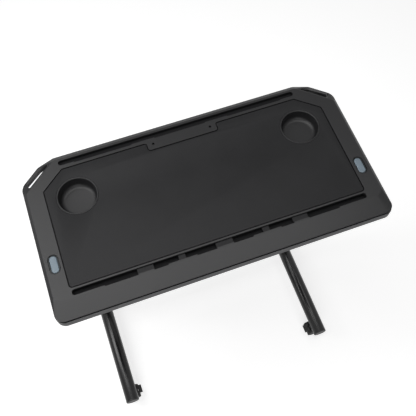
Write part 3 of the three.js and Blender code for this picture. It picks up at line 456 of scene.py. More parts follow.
@dataclass(frozen=True)
class Finish:
    """A surface: its colour, gloss and the texture left by how it was made.

    Lengths are millimetres. Grain finer than the render can show is drawn as coarse as it needs to show.
    """

    name: str
    colour: str
    roughness: float = 0.5
    metallic: float = 0.0
    specular: float = 0.5
    grain: float = 1.2
    grain_depth: float = 0.03
    mottle: float = 60.0
    mottle_share: float = 0.12
    mottle_span: Point = (0.3, 0.7)
    rough_span: Point = (0.92, 1.08)
    stretch: Triple = (1.0, 1.0, 1.0)

    def material(self) -> bpy.types.Material:
        """Builds the material, or returns it where it is built already."""
        found = bpy.data.materials.get(self.name)
        if found:
            return found
        material = bpy.data.materials.new(self.name)
        material.use_nodes = True
        tree = material.node_tree
        shader = tree.nodes["Principled BSDF"]
        shader.inputs["Metallic"].default_value = self.metallic
        shader.inputs["Specular IOR Level"].default_value = self.specular
        place = add_node(tree, "ShaderNodeTexCoord").outputs["Object"]
        scaled = add_node(tree, "ShaderNodeMapping", {"Scale": self.stretch}, {"Vector": place}).outputs[0]
        self.paint(tree, shader, place, scaled)
        return material

    def paint(self, tree: bpy.types.NodeTree, shader: bpy.types.Node, place: bpy.types.NodeSocket,
              scaled: bpy.types.NodeSocket) -> None:
        """Colour variation, roughness variation and grain."""
        mottle = add_node(tree, "ShaderNodeTexNoise", {"Scale": 1 / (self.mottle * MM), "Detail": 3.0},
                          {"Vector": place}).outputs["Fac"]
        ramp = add_node(tree, "ShaderNodeValToRGB", links={"Fac": mottle})
        base = linear(self.colour)
        shares = (1 - self.mottle_share, 1 + self.mottle_share)
        for element, share, position in zip(ramp.color_ramp.elements, shares, self.mottle_span):
            element.color = (*[min(c * share, 1.0) for c in base[:3]], 1.0)
            element.position = position
        tree.links.new(ramp.outputs["Color"], shader.inputs["Base Color"])
        smoothest, roughest = (self.roughness * share for share in self.rough_span)
        rough = add_node(tree, "ShaderNodeMapRange", {"To Min": smoothest, "To Max": roughest}, {"Value": mottle})
        tree.links.new(rough.outputs[0], shader.inputs["Roughness"])
        bump = add_node(tree, "ShaderNodeBump", {"Strength": 1.0, "Distance": self.grain_depth * MM},
                        {"Height": self.relief(tree, scaled)})
        tree.links.new(bump.outputs["Normal"], shader.inputs["Normal"])

    def relief(self, tree: bpy.types.NodeTree, scaled: bpy.types.NodeSocket) -> bpy.types.NodeSocket:
        """Height of the grain: an even random texture."""
        return add_node(tree, "ShaderNodeTexNoise", {"Scale": 1 / (self.grain * MM), "Detail": 2.0},
                        {"Vector": scaled}).outputs["Fac"]


@dataclass(frozen=True)
class PebbledFinish(Finish):
    """Moulded plastic or rubber from a textured tool: small flat topped pebbles."""

    def relief(self, tree: bpy.types.NodeTree, scaled: bpy.types.NodeSocket) -> bpy.types.NodeSocket:
        """Height of the pebbles, from the distance to the nearest of scattered points."""
        return add_node(tree, "ShaderNodeTexVoronoi", {"Scale": 1 / (self.grain * MM), "feature": "SMOOTH_F1"},
                        {"Vector": scaled}).outputs["Distance"]


# ABS from a spark eroded tool: an even fine texture, which spreads the light to a soft grey sheen
TRAY_ABS = PebbledFinish("textured_abs_tray", "#1e1e1f", roughness=0.36, specular=0.26, grain=2.2,
                         grain_depth=0.04, mottle=90, mottle_share=0.05)
# ABS of the lower cover: partly its own lighter grey, partly painted light, coloured up so its near wall shows as
# bright as the lit top
BASE_ABS_LIT = PebbledFinish("textured_abs_base", "#585859", roughness=0.6, specular=0.25, grain=2.2,
                         grain_depth=0.06, mottle=90, mottle_share=0.05)
# Calendered rubber mat: matt and almost black, with a pressed leather-like grain
MAT_RUBBER = PebbledFinish("calendered_rubber_mat", "#1f1f20", roughness=0.5, specular=0.12, grain=3.0,
                           grain_depth=0.12, mottle=70, mottle_share=0.08)
# Painted shade: a near black matt finish on the slot walls and floors, the mat recess's edge and the seam lip, which
# darkens them where shade falls
SLOT_SHADE = Finish("soft_slot_rubber", "#171718", roughness=0.85, specular=0.1, grain=1.6, grain_depth=0.03,
                     mottle=30, mottle_share=0.1)
# ABS of the wells, from a smoother tool: darker than the tray, with a satin gleam round the wall
WELL_ABS = Finish("satin_abs_well", "#1a1a1b", roughness=0.42, specular=0.27, grain=1.6, grain_depth=0.02,
                  mottle=40, mottle_share=0.06)
# Acetal push button: a smooth blue grey, slightly glossy
BUTTON_ACETAL = Finish("satin_acetal_button", "#6b7780", roughness=0.35, specular=0.2, grain=1.4,
                       grain_depth=0.01, mottle=14, mottle_share=0.04)
# ABS of the bezels: a cold near black, which frames the pale button
BEZEL_ABS = Finish("satin_abs_bezel", "#101416", roughness=0.45, specular=0.25, grain=1.4,
                   grain_depth=0.015, mottle=20, mottle_share=0.06)
# Powder coat on steel tube: a shallow orange peel in a hard satin film
POWDER_COAT = Finish("satin_powder_coat", "#0a0a0b", roughness=0.24, specular=0.42, grain=2.6, grain_depth=0.02,
                     mottle=80, mottle_share=0.1)
# Thin coat on the moving columns, a little duller from the glides than the frame's
COLUMN_COAT = Finish("smooth_column_coat", "#19191b", roughness=0.3, specular=0.4, grain=2.6, grain_depth=0.03,
                     mottle=80, mottle_share=0.1)
# Glass filled nylon: a dry, faintly streaked black
BLACK_NYLON = Finish("moulded_black_nylon", "#121213", roughness=0.5, grain=1.4, grain_depth=0.04, mottle=24,
                     mottle_share=0.16)
# Zinc plated steel: fine draw lines along the part under a pale passivated film
ZINC_STEEL = Finish("zinc_plated_steel", "#a9adb0", roughness=0.34, metallic=1.0, grain=0.8, grain_depth=0.02,
                    mottle=18, mottle_share=0.12, stretch=(0.05, 1.0, 1.0))
# Polyurethane tread: soft and dull, with a blotchy dusting
TREAD_RUBBER = Finish("polyurethane_tread", "#101010", roughness=0.68, grain=1.1, grain_depth=0.05, mottle=12,
                      mottle_share=0.25)
# Nylon of the wheel hubs: a dark grey, which sets them off from the blacker treads
HUB_NYLON = Finish("moulded_grey_nylon", "#2c2d2f", roughness=0.45, grain=1.2, grain_depth=0.03, mottle=16,
                   mottle_share=0.12)


@dataclass(frozen=True)
class Fitting:
    """What a finished piece rides on, its record slot and the CAD nodes that it stands for."""

    body: str
    slot: str
    finish: Finish
    nodes: tuple[str, ...] = ()


def fit(obj: bpy.types.Object, fitting: Fitting) -> None:
    """Dresses a finished piece and puts it on its body."""
    obj.data.materials.clear()
    obj.data.materials.append(fitting.finish.material())
    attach(obj, fitting.body)
    if fitting.nodes:
        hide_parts(*fitting.nodes)
    log.info("%s: %d faces on %s", obj.name, len(obj.data.polygons), fitting.body)


def line_faces(obj: bpy.types.Object, finish: Finish, test: Callable[[Vector], bool]) -> None:
    """Gives some faces another finish, here painted shade in slots, recess and seam, and mat rubber on shallow slot
    floors.

    Args:
        obj: The piece, which has its main finish.
        finish: The surface of the chosen faces.
        test: Takes a face's middle in millimetres.
    """
    obj.data.materials.append(finish.material())
    for face in obj.data.polygons:
        if test(face.center / MM):
            face.material_index = len(obj.data.materials) - 1


def fit_pair(obj: bpy.types.Object, stem: str, body: str, slot: str, finish: Finish, node: str = "") -> None:
    """Dresses a right hand piece and its mirror image.

    Args:
        obj: The right hand piece.
        stem: Name of both pieces, without the side.
        body: The body, with {side} where its name holds the side.
        slot: The record's material slot; it is stored in the Fitting but not used.
        finish: The surface.
        node: The CAD node that each stands for, without the side, or nothing.
    """
    obj.name = f"{stem}_right"
    for side, piece in ((Side.RIGHT, obj), (Side.LEFT, copied(obj, f"{stem}_left", MIRROR))):
        nodes = (f"{node}_{side.label}",) if node else ()
        fit(piece, Fitting(body.format(side=side.label), slot, finish, nodes))


# Tray


@dataclass
class FramePlan:
    """Places that the columns, the floor frame and the casters share."""

    x: float = 345.0
    y: float = 122.0
    tube_z: float = 80.0
    tube_radius: float = 22.0
    tube_wall: float = 2.0
    caster_y: float = 205.0


@dataclass
class TrayPlan:
    """Heights and outlines that the tray's pieces share. Right hand corners stand for both sides."""

    deck: float = 960.0
    rim_drop: float = 8.0
    skirt: float = 2.0
    plate: float = 6.5
    height: float = 36.0
    half_width: float = 399.0
    near: float = -195.1
    far: float = 207.1
    near_radius: float = 22.0
    side_end: Point = (143, 18)
    far_corner: tuple[Corner, ...] = ((395.3, 155.6, 30), (350.9, 193.4, 26))
    far_end: Point = (311, 26)
    top_edge: tuple[Corner, ...] = ((375, -149, 8), (391, -137, 8), (391, 128, 12), (311.5, 195.5, 12))
    body_radius: float = 8.0
    recess: float = 3.5
    groove: float = 2.2
    mat_edge: tuple[Corner, ...] = ((351, -125, 6), (351, 120, 4), (297.5, 165, 4), (90, 165, 4), (90, 143, 8))
    grip: tuple[Corner, ...] = ((381, 141, 3), (385.5, 155.5, 3), (348, 185.5, 12), (329, 191.2, 1.5),
                                (324.6, 188.9, 1.5))
    cup: Point = (280.0, 86.3)
    cup_radius: float = 45.0
    button: Point = (371.0, -61.5)
    button_half: Point = (9.25, 20.5)
    bend: int = 10

    @property
    def rim_z(self) -> float:
        """Height of the rim, where the bevel ends."""
        return self.deck - self.rim_drop

    @property
    def cover_z(self) -> float:
        """Lower edge of the top cover."""
        return self.rim_z - self.skirt

    @property
    def tray_z(self) -> float:
        """Underside of the tray."""
        return self.deck - self.height

    @property
    def recess_z(self) -> float:
        """Floor of the mat's recess."""
        return self.deck - self.recess

    def rim(self) -> list[Point]:
        """Outer edge at the rim."""
        corners = both_sides([(self.half_width, self.near, self.near_radius), (self.half_width, *self.side_end),
                              *self.far_corner, (self.far_end[0], self.far, self.far_end[1])])
        side = [2 * self.bend + 1, *[self.bend] * 4]
        return rounded(corners, [*side, *reversed(side)])

    def plateau(self) -> list[Point]:
        """Edge of the flat top, with as many points as the rim."""
        side = [self.bend, self.bend, 2 * self.bend + 1, 2 * self.bend + 1]
        return rounded(both_sides(self.top_edge), [*side, *reversed(side)])

    def grip_line(self) -> tuple[Callable[[float], float], Callable[[float], float]]:
        """The slot's inner edge as y at a chosen x, and x at a chosen y."""
        (near_x, near_y, _), (far_x, far_y, _) = self.grip[0], self.grip[-1]
        slope = (far_y - near_y) / (far_x - near_x)
        return (lambda x: near_y + (x - near_x) * slope), (lambda y: near_x + (y - near_y) / slope)

    def body(self) -> list[Corner]:
        """Corners of the tray's body, which stops at the carrying slots."""
        y_at, x_at = self.grip_line()
        return both_sides([(self.half_width, self.near, self.near_radius),
                           (self.half_width, y_at(self.half_width), self.body_radius),
                           (x_at(self.far), self.far, self.body_radius)])

    def mat(self) -> list[Corner]:
        """Corners of the work mat, with its notch round the accessory tab."""
        return both_sides(self.mat_edge)

    def button_outline(self, grow_by: float, half: Point | None = None) -> list[Point]:
        """Round ended outline about the right hand button, or about another half width and length."""
        half_x, half_y = (value + grow_by for value in half or self.button_half)
        return rounded(rectangle(*self.button, half_x, half_y, half_x - SEAT_GAP), 8)


@dataclass
class TrayTop:
    """Moulded top cover: bevelled plate, slots, mat recess and two carrying bars."""

    plan: TrayPlan
    bar_depth: float = 20.5
    flare: float = 8.0
    flare_span: Point = (9.0, 5.0)
    core_inset: Point = (4.0, 16.0)
    setback: float = 2.9
    near_slot_y: float = -138.1
    near_half: float = 6.85
    near_length: float = 350.0
    near_step: float = 2.4
    near_wide: tuple[Point, ...] = ((20, 67), (134, 167), (203, 279))
    near_deep: tuple[Point, ...] = ((20, 92), (108, 166), (203, 350))
    far_slot_y: float = 183.2
    far_half: float = 6.6
    far_length: float = 302.0
    far_step: float = 2.0
    far_middle: Point = (-65, 65)
    far_wide: tuple[Point, ...] = ((123, 265),)
    corner: float = 0.8
    end_flat: float = 0.5
    offset: float = 0.05
    slot_depth: float = 14.0
    far_depth: float = 9.5
    groove_depth: float = 5.0
    trough_wall: float = 2.4
    trough_floor: float = 2.2
    cup_bore: float = 47.1
    tab_hole: Triple = (72.7, 160.0, 3.0)
    bezel_room: float = 3.05
    edge: float = 0.7
    rim_edge: float = 1.0
    smooth: float = 6.0

    def blank(self) -> bpy.types.Object:
        """Bevelled block, set back over the lower cover's near side, with the room for that cover taken out."""
        p = self.plan
        bend_y = p.near + p.near_radius
        squeeze = 1 - self.setback / p.near_radius
        rim = [(x, y if y > bend_y else bend_y + (y - bend_y) * squeeze) for x, y in p.rim()]
        low = p.deck - self.bar_depth
        obj = loft("tray_top", [(rim, low), (rim, p.rim_z), (p.plateau(), p.deck)])
        y_at, x_at = p.grip_line()
        wide, far = p.half_width + OVERRUN, p.far + OVERRUN
        room = inset(both_sides([(wide, p.near - OVERRUN, 0), (wide, y_at(wide), 0), (x_at(far), far, 0)]), -SEAT_GAP)
        inner, deeper = (rounded(inset(p.body(), distance)) for distance in self.core_inset)
        return cut(
            obj,
            slab("room", rounded(room), low - OVERRUN, p.cover_z),
            loft("core", [(inner, p.cover_z - OVERRUN), (inner, p.cover_z), (deeper, p.deck - p.plate)]),
        )

    def channel(self, span: Point, y: float, half: float, wide: Sequence[Point], ends: Point,
                step: float) -> list[Corner]:
        """Corners of a slot between two places in X, with a near edge that steps out over its wider stretches.

        Args:
            span: Where the slot starts and ends in X.
            y: Its middle.
            half: Half its width.
            wide: Stretches of X over which it is wider.
            ends: Corner radius at its start and its end.
            step: How much wider it is there.

        Returns:
            The corners, counter-clockwise.
        """
        stops = sorted({*span, *[x for stretch in wide for x in stretch if span[0] < x < span[1]]})
        edge: list[Point] = []
        for start, end in zip(stops, stops[1:]):
            out = step if any(a <= start and end <= b for a, b in wide) else 0.0
            for point in ((start, y - half - out), (end, y - half - out)):
                if edge and edge[-1] == point:
                    edge.pop()
                else:
                    edge.append(point)
        corners = [(*point, self.corner) for point in edge]
        corners[0], corners[-1] = (*edge[0], ends[0]), (*edge[-1], ends[1])
        return [*corners, (span[1], y + half, ends[1]), (span[0], y + half, ends[0])]

    def near_slot(self) -> list[bpy.types.Object]:
        """Deep stretches of the near slot, and its shallow groove over them."""
        deck, y, half = self.plan.deck, self.near_slot_y, self.near_half
        wide = mirrored(self.near_wide)
        tools = []
        for span in mirrored(self.near_deep):
            ends = tuple(half - 2 * self.end_flat if abs(x) == self.near_length else self.corner for x in span)
            corners = inset(self.channel(span, y, half, wide, ends, self.near_step), self.offset)
            tools.append(slab("deep", rounded(corners), deck - self.slot_depth, deck + OVERRUN))
        corners = self.channel((-self.near_length, self.near_length), y, half, wide, (half - self.end_flat,) * 2,
                               self.near_step)
        tools.append(slab("groove", rounded(corners), deck - self.groove_depth, deck + OVERRUN))
        return tools

    def far_slot(self) -> bpy.types.Object:
        """Long slot with three wider stretches."""
        corners = self.channel((-self.far_length, self.far_length), self.far_slot_y, self.far_half,
                               [self.far_middle, *mirrored(self.far_wide)], (self.far_half - self.end_flat,) * 2,
                               self.far_step)
        return slab("far_slot", rounded(corners), self.plan.deck - self.far_depth, self.plan.deck + OVERRUN)

    def troughs(self) -> list[bpy.types.Object]:
        """Walls below the deep stretches of both slots."""
        low = self.plan.deck - self.slot_depth - self.trough_floor
        high = self.plan.recess_z - SEAT_GAP
        near, far = self.near_step / 2, self.far_step / 2
        walls = [(-self.far_length, self.far_length, self.far_slot_y - far, self.far_half + far)]
        walls += [(a, b, self.near_slot_y - near, self.near_half + near) for a, b in mirrored(self.near_deep)]
        return [slab("trough", rounded(rectangle((a + b) / 2, y, (b - a) / 2 + self.trough_wall,
                                                 half + self.trough_wall, 1)), low, high)
                for a, b, y, half in walls]

    def holes(self) -> list[bpy.types.Object]:
        """Mat recess, cup bores, accessory holes, button holes and carrying slots."""
        p = self.plan
        high = p.deck + OVERRUN
        tab_x, tab_y, tab_radius = self.tab_hole
        tools = [slab("recess", rounded(inset(p.mat(), -p.groove)), p.recess_z, high)]
        for sign in (-1, 1):
            bore = circle(sign * p.cup[0], p.cup[1], self.cup_bore, Facets.CUP)
            tools.append(slab("cup_bore", bore, p.tray_z, high))
            tools.append(slab("tab_hole", circle(sign * tab_x, tab_y, tab_radius, Facets.SMALL), p.tray_z, high))
            outline = [(sign * x, y) for x, y in p.button_outline(self.bezel_room)]
            tools.append(slab("button_hole", outline, p.cover_z - OVERRUN, high))
            carrying = [(sign * x, y, r) for x, y, r in p.grip]
            tools.append(slab("grip", rounded(carrying if sign > 0 else carrying[::-1]), p.tray_z, high))
            tools.append(self.bar_slope(sign))
        return tools

    def bar_slope(self, sign: int) -> bpy.types.Object:
        """Slope on a carrying bar's inner edge, where the fingers close round it."""
        p = self.plan
        (start_x, start_y, _), (end_x, end_y, _) = p.grip[1:3]
        out = Vector((end_y - start_y, start_x - end_x)).normalized() * self.flare
        low = rounded(inset(p.grip, self.offset))
        high = [(x + out.x, y + out.y) for x, y in low]
        rings = [(ring, p.deck - drop) for ring, drop in zip((low, high), self.flare_span)]
        return loft("flare", [([(sign * x, y) for x, y in points], z) for points, z in rings])

    def build(self) -> None:
        """Models the cover and dresses it."""
        p = self.plan
        obj = join(self.blank(), *self.troughs())
        cut(obj, *self.holes(), self.far_slot(), *self.near_slot())
        bevel(obj, edges_from(p.deck), self.edge)
        bevel(obj, edges_at(p.rim_z), self.rim_edge, 3)
        shade(obj, self.smooth)
        fit(obj, Fitting("desk", "top_plastic", TRAY_ABS, ("top_cover",)))
        floor = p.deck - self.groove_depth
        # Painted shade: slot walls and floors and the mat recess's edge get the near black finish, and the shallow
        # slot floors then take the mat's rubber
        line_faces(obj, SLOT_SHADE, lambda at: self.in_slot(at) or self.in_recess(at))
        line_faces(obj, MAT_RUBBER, lambda at: self.in_slot(at) and abs(at.z - floor) < 2 * TOUCH)

    def in_recess(self, at: Vector) -> bool:
        """Whether a place in millimetres is on the wall or floor of the mat's recess."""
        p = self.plan
        (half, low, _), (_, _, _), (_, high, _), *_ = inset(p.mat(), -p.groove - SEAT_GAP)
        deep = p.recess_z - TOUCH < at.z < p.deck - self.edge - TOUCH
        return deep and abs(at.x) < half and low < at.y < high

    def in_slot(self, at: Vector) -> bool:
        """Whether a place in millimetres is on a slot's wall or floor."""
        p = self.plan
        if not p.deck - self.slot_depth - TOUCH < at.z < p.deck - self.edge - TOUCH:
            return False
        slots = ((self.near_slot_y, self.near_half, self.near_step, self.near_length),
                 (self.far_slot_y, self.far_half, self.far_step, self.far_length))
        return any(-half - step - SEAT_GAP < at.y - y < half + SEAT_GAP and abs(at.x) < length + SEAT_GAP
                   for y, half, step, length in slots)


@dataclass
class TrayBase:
    """Moulded lower cover: a shallow pan with a stepped lip, column openings and assembly screws."""

    plan: TrayPlan
    frame_plan: FramePlan
    wall: float = 4.0
    floor: float = 2.5
    foot_bevel: float = 4.5
    foot_round: float = 1.3
    seam: float = 0.5
    step: float = 2.2
    step_in: float = 2.6
    step_bevel: float = 1.2
    step_round: Point = (0.4, 0.3)
    overlap: float = 1.0
    corner_steps: int = 12
    edge: float = 0.35
    smooth: float = 15.0
    opening: Triple = (18.3, 31.3, 8.0)
    pocket: Point = (4.2, 1.4)
    screw: Point = (3.0, 1.2)
    screw_seat: float = 1.5
    screws: tuple[Point, ...] = ((60, -170), (60, 178), (200, -170), (220, 178), (340, -170), (381, -20), (381, 70))

    def ring(self, distance: float) -> list[Point]:
        """Outline of the tray's body moved inwards."""
        return rounded(inset(self.plan.body(), distance), self.corner_steps)

    def build(self) -> None:
        """Models the pan, its screw pockets and its screws."""
        p = self.plan
        lip = p.cover_z - self.seam
        shelf = lip - self.step
        round_in, round_drop = self.step_round
        obj = loft("tray_base", [
            (self.ring(self.foot_bevel), p.tray_z), (self.ring(self.foot_round), p.tray_z + self.foot_round),
            (self.ring(0), p.tray_z + self.foot_bevel), (self.ring(0), shelf - self.step_bevel),
            (self.ring(round_in), shelf - round_drop), (self.ring(self.step_bevel), shelf)])
        join(obj, slab("lip", self.ring(self.step_in), shelf - self.overlap, lip))
        cut(obj, slab("inside", self.ring(self.wall), p.tray_z + self.floor, lip + OVERRUN))
        depth, tools = self.pocket[1], []
        for sign in (-1, 1):
            corners = rectangle(sign * self.frame_plan.x, self.frame_plan.y, *self.opening)
            tools.append(slab("opening", rounded(corners, 8), p.tray_z - OVERRUN, lip))
            tools += [rod("pocket", self.pocket[0], -OVERRUN, depth, (sign * x, y, p.tray_z)) for x, y in self.screws]
        cut(obj, *tools)
        soften(obj, self.edge)
        shade(obj, self.smooth)
        fit(obj, Fitting("desk", "lower_plastic", BASE_ABS_LIT, ("bottom_cover",)))
        # Painted shade: the lip above the shelf gets the near black finish, so the seam under the top cover reads as
        # a shadowed groove
        line_faces(obj, SLOT_SHADE, lambda at: at.z > shelf - TOUCH)
        self.add_screws()

    def add_screws(self) -> None:
        """Copies the assembly screw to its pockets."""
        screw = CrossScrew(*self.screw).build()
        turn = Matrix.Rotation(math.pi, 4, "X")
        for i, (x, y) in enumerate(self.screws):
            for side in Side:
                place = shift(side.value * x, y, self.plan.tray_z + self.screw_seat) @ turn
                head = copied(screw, f"cover_screw_{i}_{side.label}", place)
                fit(head, Fitting("desk", "steel", ZINC_STEEL))
        discard(screw)


@dataclass
class Fastener(ABC):
    """Head of a screw or bolt that shows, its seat at zero and its axis up. The dome is in shares of its size."""

    radius: float
    height: float
    dome: tuple[Point, ...] = ()
    facets: int = Facets.SMALL
    recess: float = 0.35

    @abstractmethod
    def sockets(self) -> list[list[Point]]:
        """Outlines of the recess that the driver goes into."""

    def build(self) -> bpy.types.Object:
        """Models the head."""
        crown = [(self.radius * across, self.height * up) for across, up in self.dome]
        head = lathe("head", [(0, 0), (self.radius, 0), *crown, (0, self.height)], steps=self.facets)
        floor = self.height * self.recess
        return shade(cut(head, *[slab("recess", outline, floor, self.height + 1) for outline in self.sockets()]))


@dataclass
class CrossScrew(Fastener):
    """Domed screw head with a cross recess."""

    dome: tuple[Point, ...] = ((1.0, 0.35), (0.8, 0.8), (0.4, 1.0))
    arm: Point = (0.62, 0.13)

    def sockets(self) -> list[list[Point]]:
        """Both arms of the cross."""
        length, width = (share * self.radius for share in self.arm)
        return [rounded(rectangle(0, 0, *half), 2) for half in ((length, width), (width, length))]


@dataclass
class SocketBolt(Fastener):
    """Button head with a hexagon socket."""

    dome: tuple[Point, ...] = ((1.0, 0.3), (0.86, 0.72), (0.55, 1.0))
    facets: int = Facets.MEDIUM
    socket: float = 0.42

    def sockets(self) -> list[list[Point]]:
        """The hexagon."""
        return [circle(0, 0, self.radius * self.socket, 6)]


@dataclass
class WorkMat:
    """Soft mat in the cover's recess, with holes for the cup wells."""

    plan: TrayPlan
    drop: float = 0.3
    hole: float = 48.7
    edge: float = 0.9
    smooth: float = 20.0

    def build(self) -> None:
        """Models the mat and dresses it."""
        p = self.plan
        low, high = p.recess_z + SEAT_GAP, p.deck - self.drop
        obj = slab("work_mat", rounded(p.mat(), 8), low, high)
        rings = [circle(sign * p.cup[0], p.cup[1], self.hole, Facets.CUP) for sign in (-1, 1)]
        cut(obj, *[slab("hole", ring, low - OVERRUN, high + OVERRUN) for ring in rings])
        bevel(obj, edges_from(high), self.edge, 3)
        shade(obj, self.smooth)
        fit(obj, Fitting("desk", "mat_surface", MAT_RUBBER, ("desk_mat",)))


@dataclass
class CupWell:
    """Cup well: a straight sided cup with a rolled rim and a filleted floor."""

    plan: TrayPlan
    depth: float = 30.0
    floor_radius: float = 44.0
    fillet: float = 12.0
    wall: float = 1.8
    rim: float = 3.4
    rim_drop: float = 0.2
    rim_round: float = 0.8
    lip_round: float = 1.8

    def build(self) -> None:
        """Models the right hand well and its mirror image."""
        p = self.plan
        floor, centre = p.deck - self.depth, self.floor_radius - self.fillet
        inside = arc(centre, floor + self.fillet, self.fillet, 0, -90, 8)
        outside = arc(centre, floor + self.fillet, self.fillet + self.wall, -90, 0, 8)
        radius, low, crown = p.cup_radius, p.recess_z + SEAT_GAP, p.deck - self.rim_drop
        rim = arc(radius + self.rim - self.rim_round, crown - self.rim_round, self.rim_round, 0, 90, 4)
        lip = arc(radius + self.lip_round, crown - self.lip_round, self.lip_round, 90, 180, 6)
        profile = [(0, floor - self.wall), *outside, (radius + self.wall, low), (radius + self.rim, low), *rim, *lip,
                   *inside, (0, floor)]
        obj = lathe("cup_well", profile, (*p.cup, 0), steps=Facets.CUP)
        fit_pair(shade(obj), "cup_well", "desk", "well_plastic", WELL_ABS, "cup_holder")


@dataclass
class ReleaseButton:
    """Push button with a crowned cap, in a bezel held under the cover. The dome goes inwards and down."""

    plan: TrayPlan
    half: Point = (8.2, 20.3)
    rise: float = 0.6
    dome: tuple[Point, ...] = ((0.0, -6.6), (0.0, -1.5), (-0.25, -0.9), (-0.8, -0.45), (-1.7, -0.18), (-3.2, -0.04),
                               (-5.4, 0.0))
    post: Triple = (5.0, 2.4, 0.5)
    post_span: Point = (8.7, 2.6)
    bezel_drop: float = 1.2
    bezel_height: float = 7.2
    bezel_wall: float = 2.75
    bezel_edge: float = 0.8
    lip_wall: float = 3.75
    lip_height: float = 1.6

    def bezel(self) -> bpy.types.Object:
        """Ring round the button, with a lip under the cover."""
        p = self.plan
        top, lip_top = p.deck - self.bezel_drop, p.deck - p.plate - SEAT_GAP
        ring = slab("bezel", p.button_outline(self.bezel_wall), top - self.bezel_height, top)
        join(ring, slab("lip", p.button_outline(self.lip_wall), lip_top - self.lip_height, lip_top))
        cut(ring, slab("bore", p.button_outline(SEAT_GAP, self.half), p.tray_z, p.deck + OVERRUN))
        bevel(ring, edges_from(top), self.bezel_edge, 3)
        return shade(ring)

    def cap(self) -> bpy.types.Object:
        """Crowned cap and the post that bears on the lever."""
        p = self.plan
        crown = p.deck - self.rise
        cap = loft("button", [(p.button_outline(grow_by, self.half), crown + z) for grow_by, z in self.dome])
        low, high = (p.deck - drop for drop in self.post_span)
        join(cap, slab("post", rounded(rectangle(*p.button, *self.post), 2), low, high))
        return shade(cap, 50)

    def build(self) -> None:
        """Models the right hand bezel and button and their mirror images."""
        fit_pair(self.bezel(), "button_bezel", "desk", "bezel_plastic", BEZEL_ABS, "button_bezel")
        fit_pair(self.cap(), "push_button", "button_{side}", "button_plastic", BUTTON_ACETAL, "release_button")


# Columns and floor frame


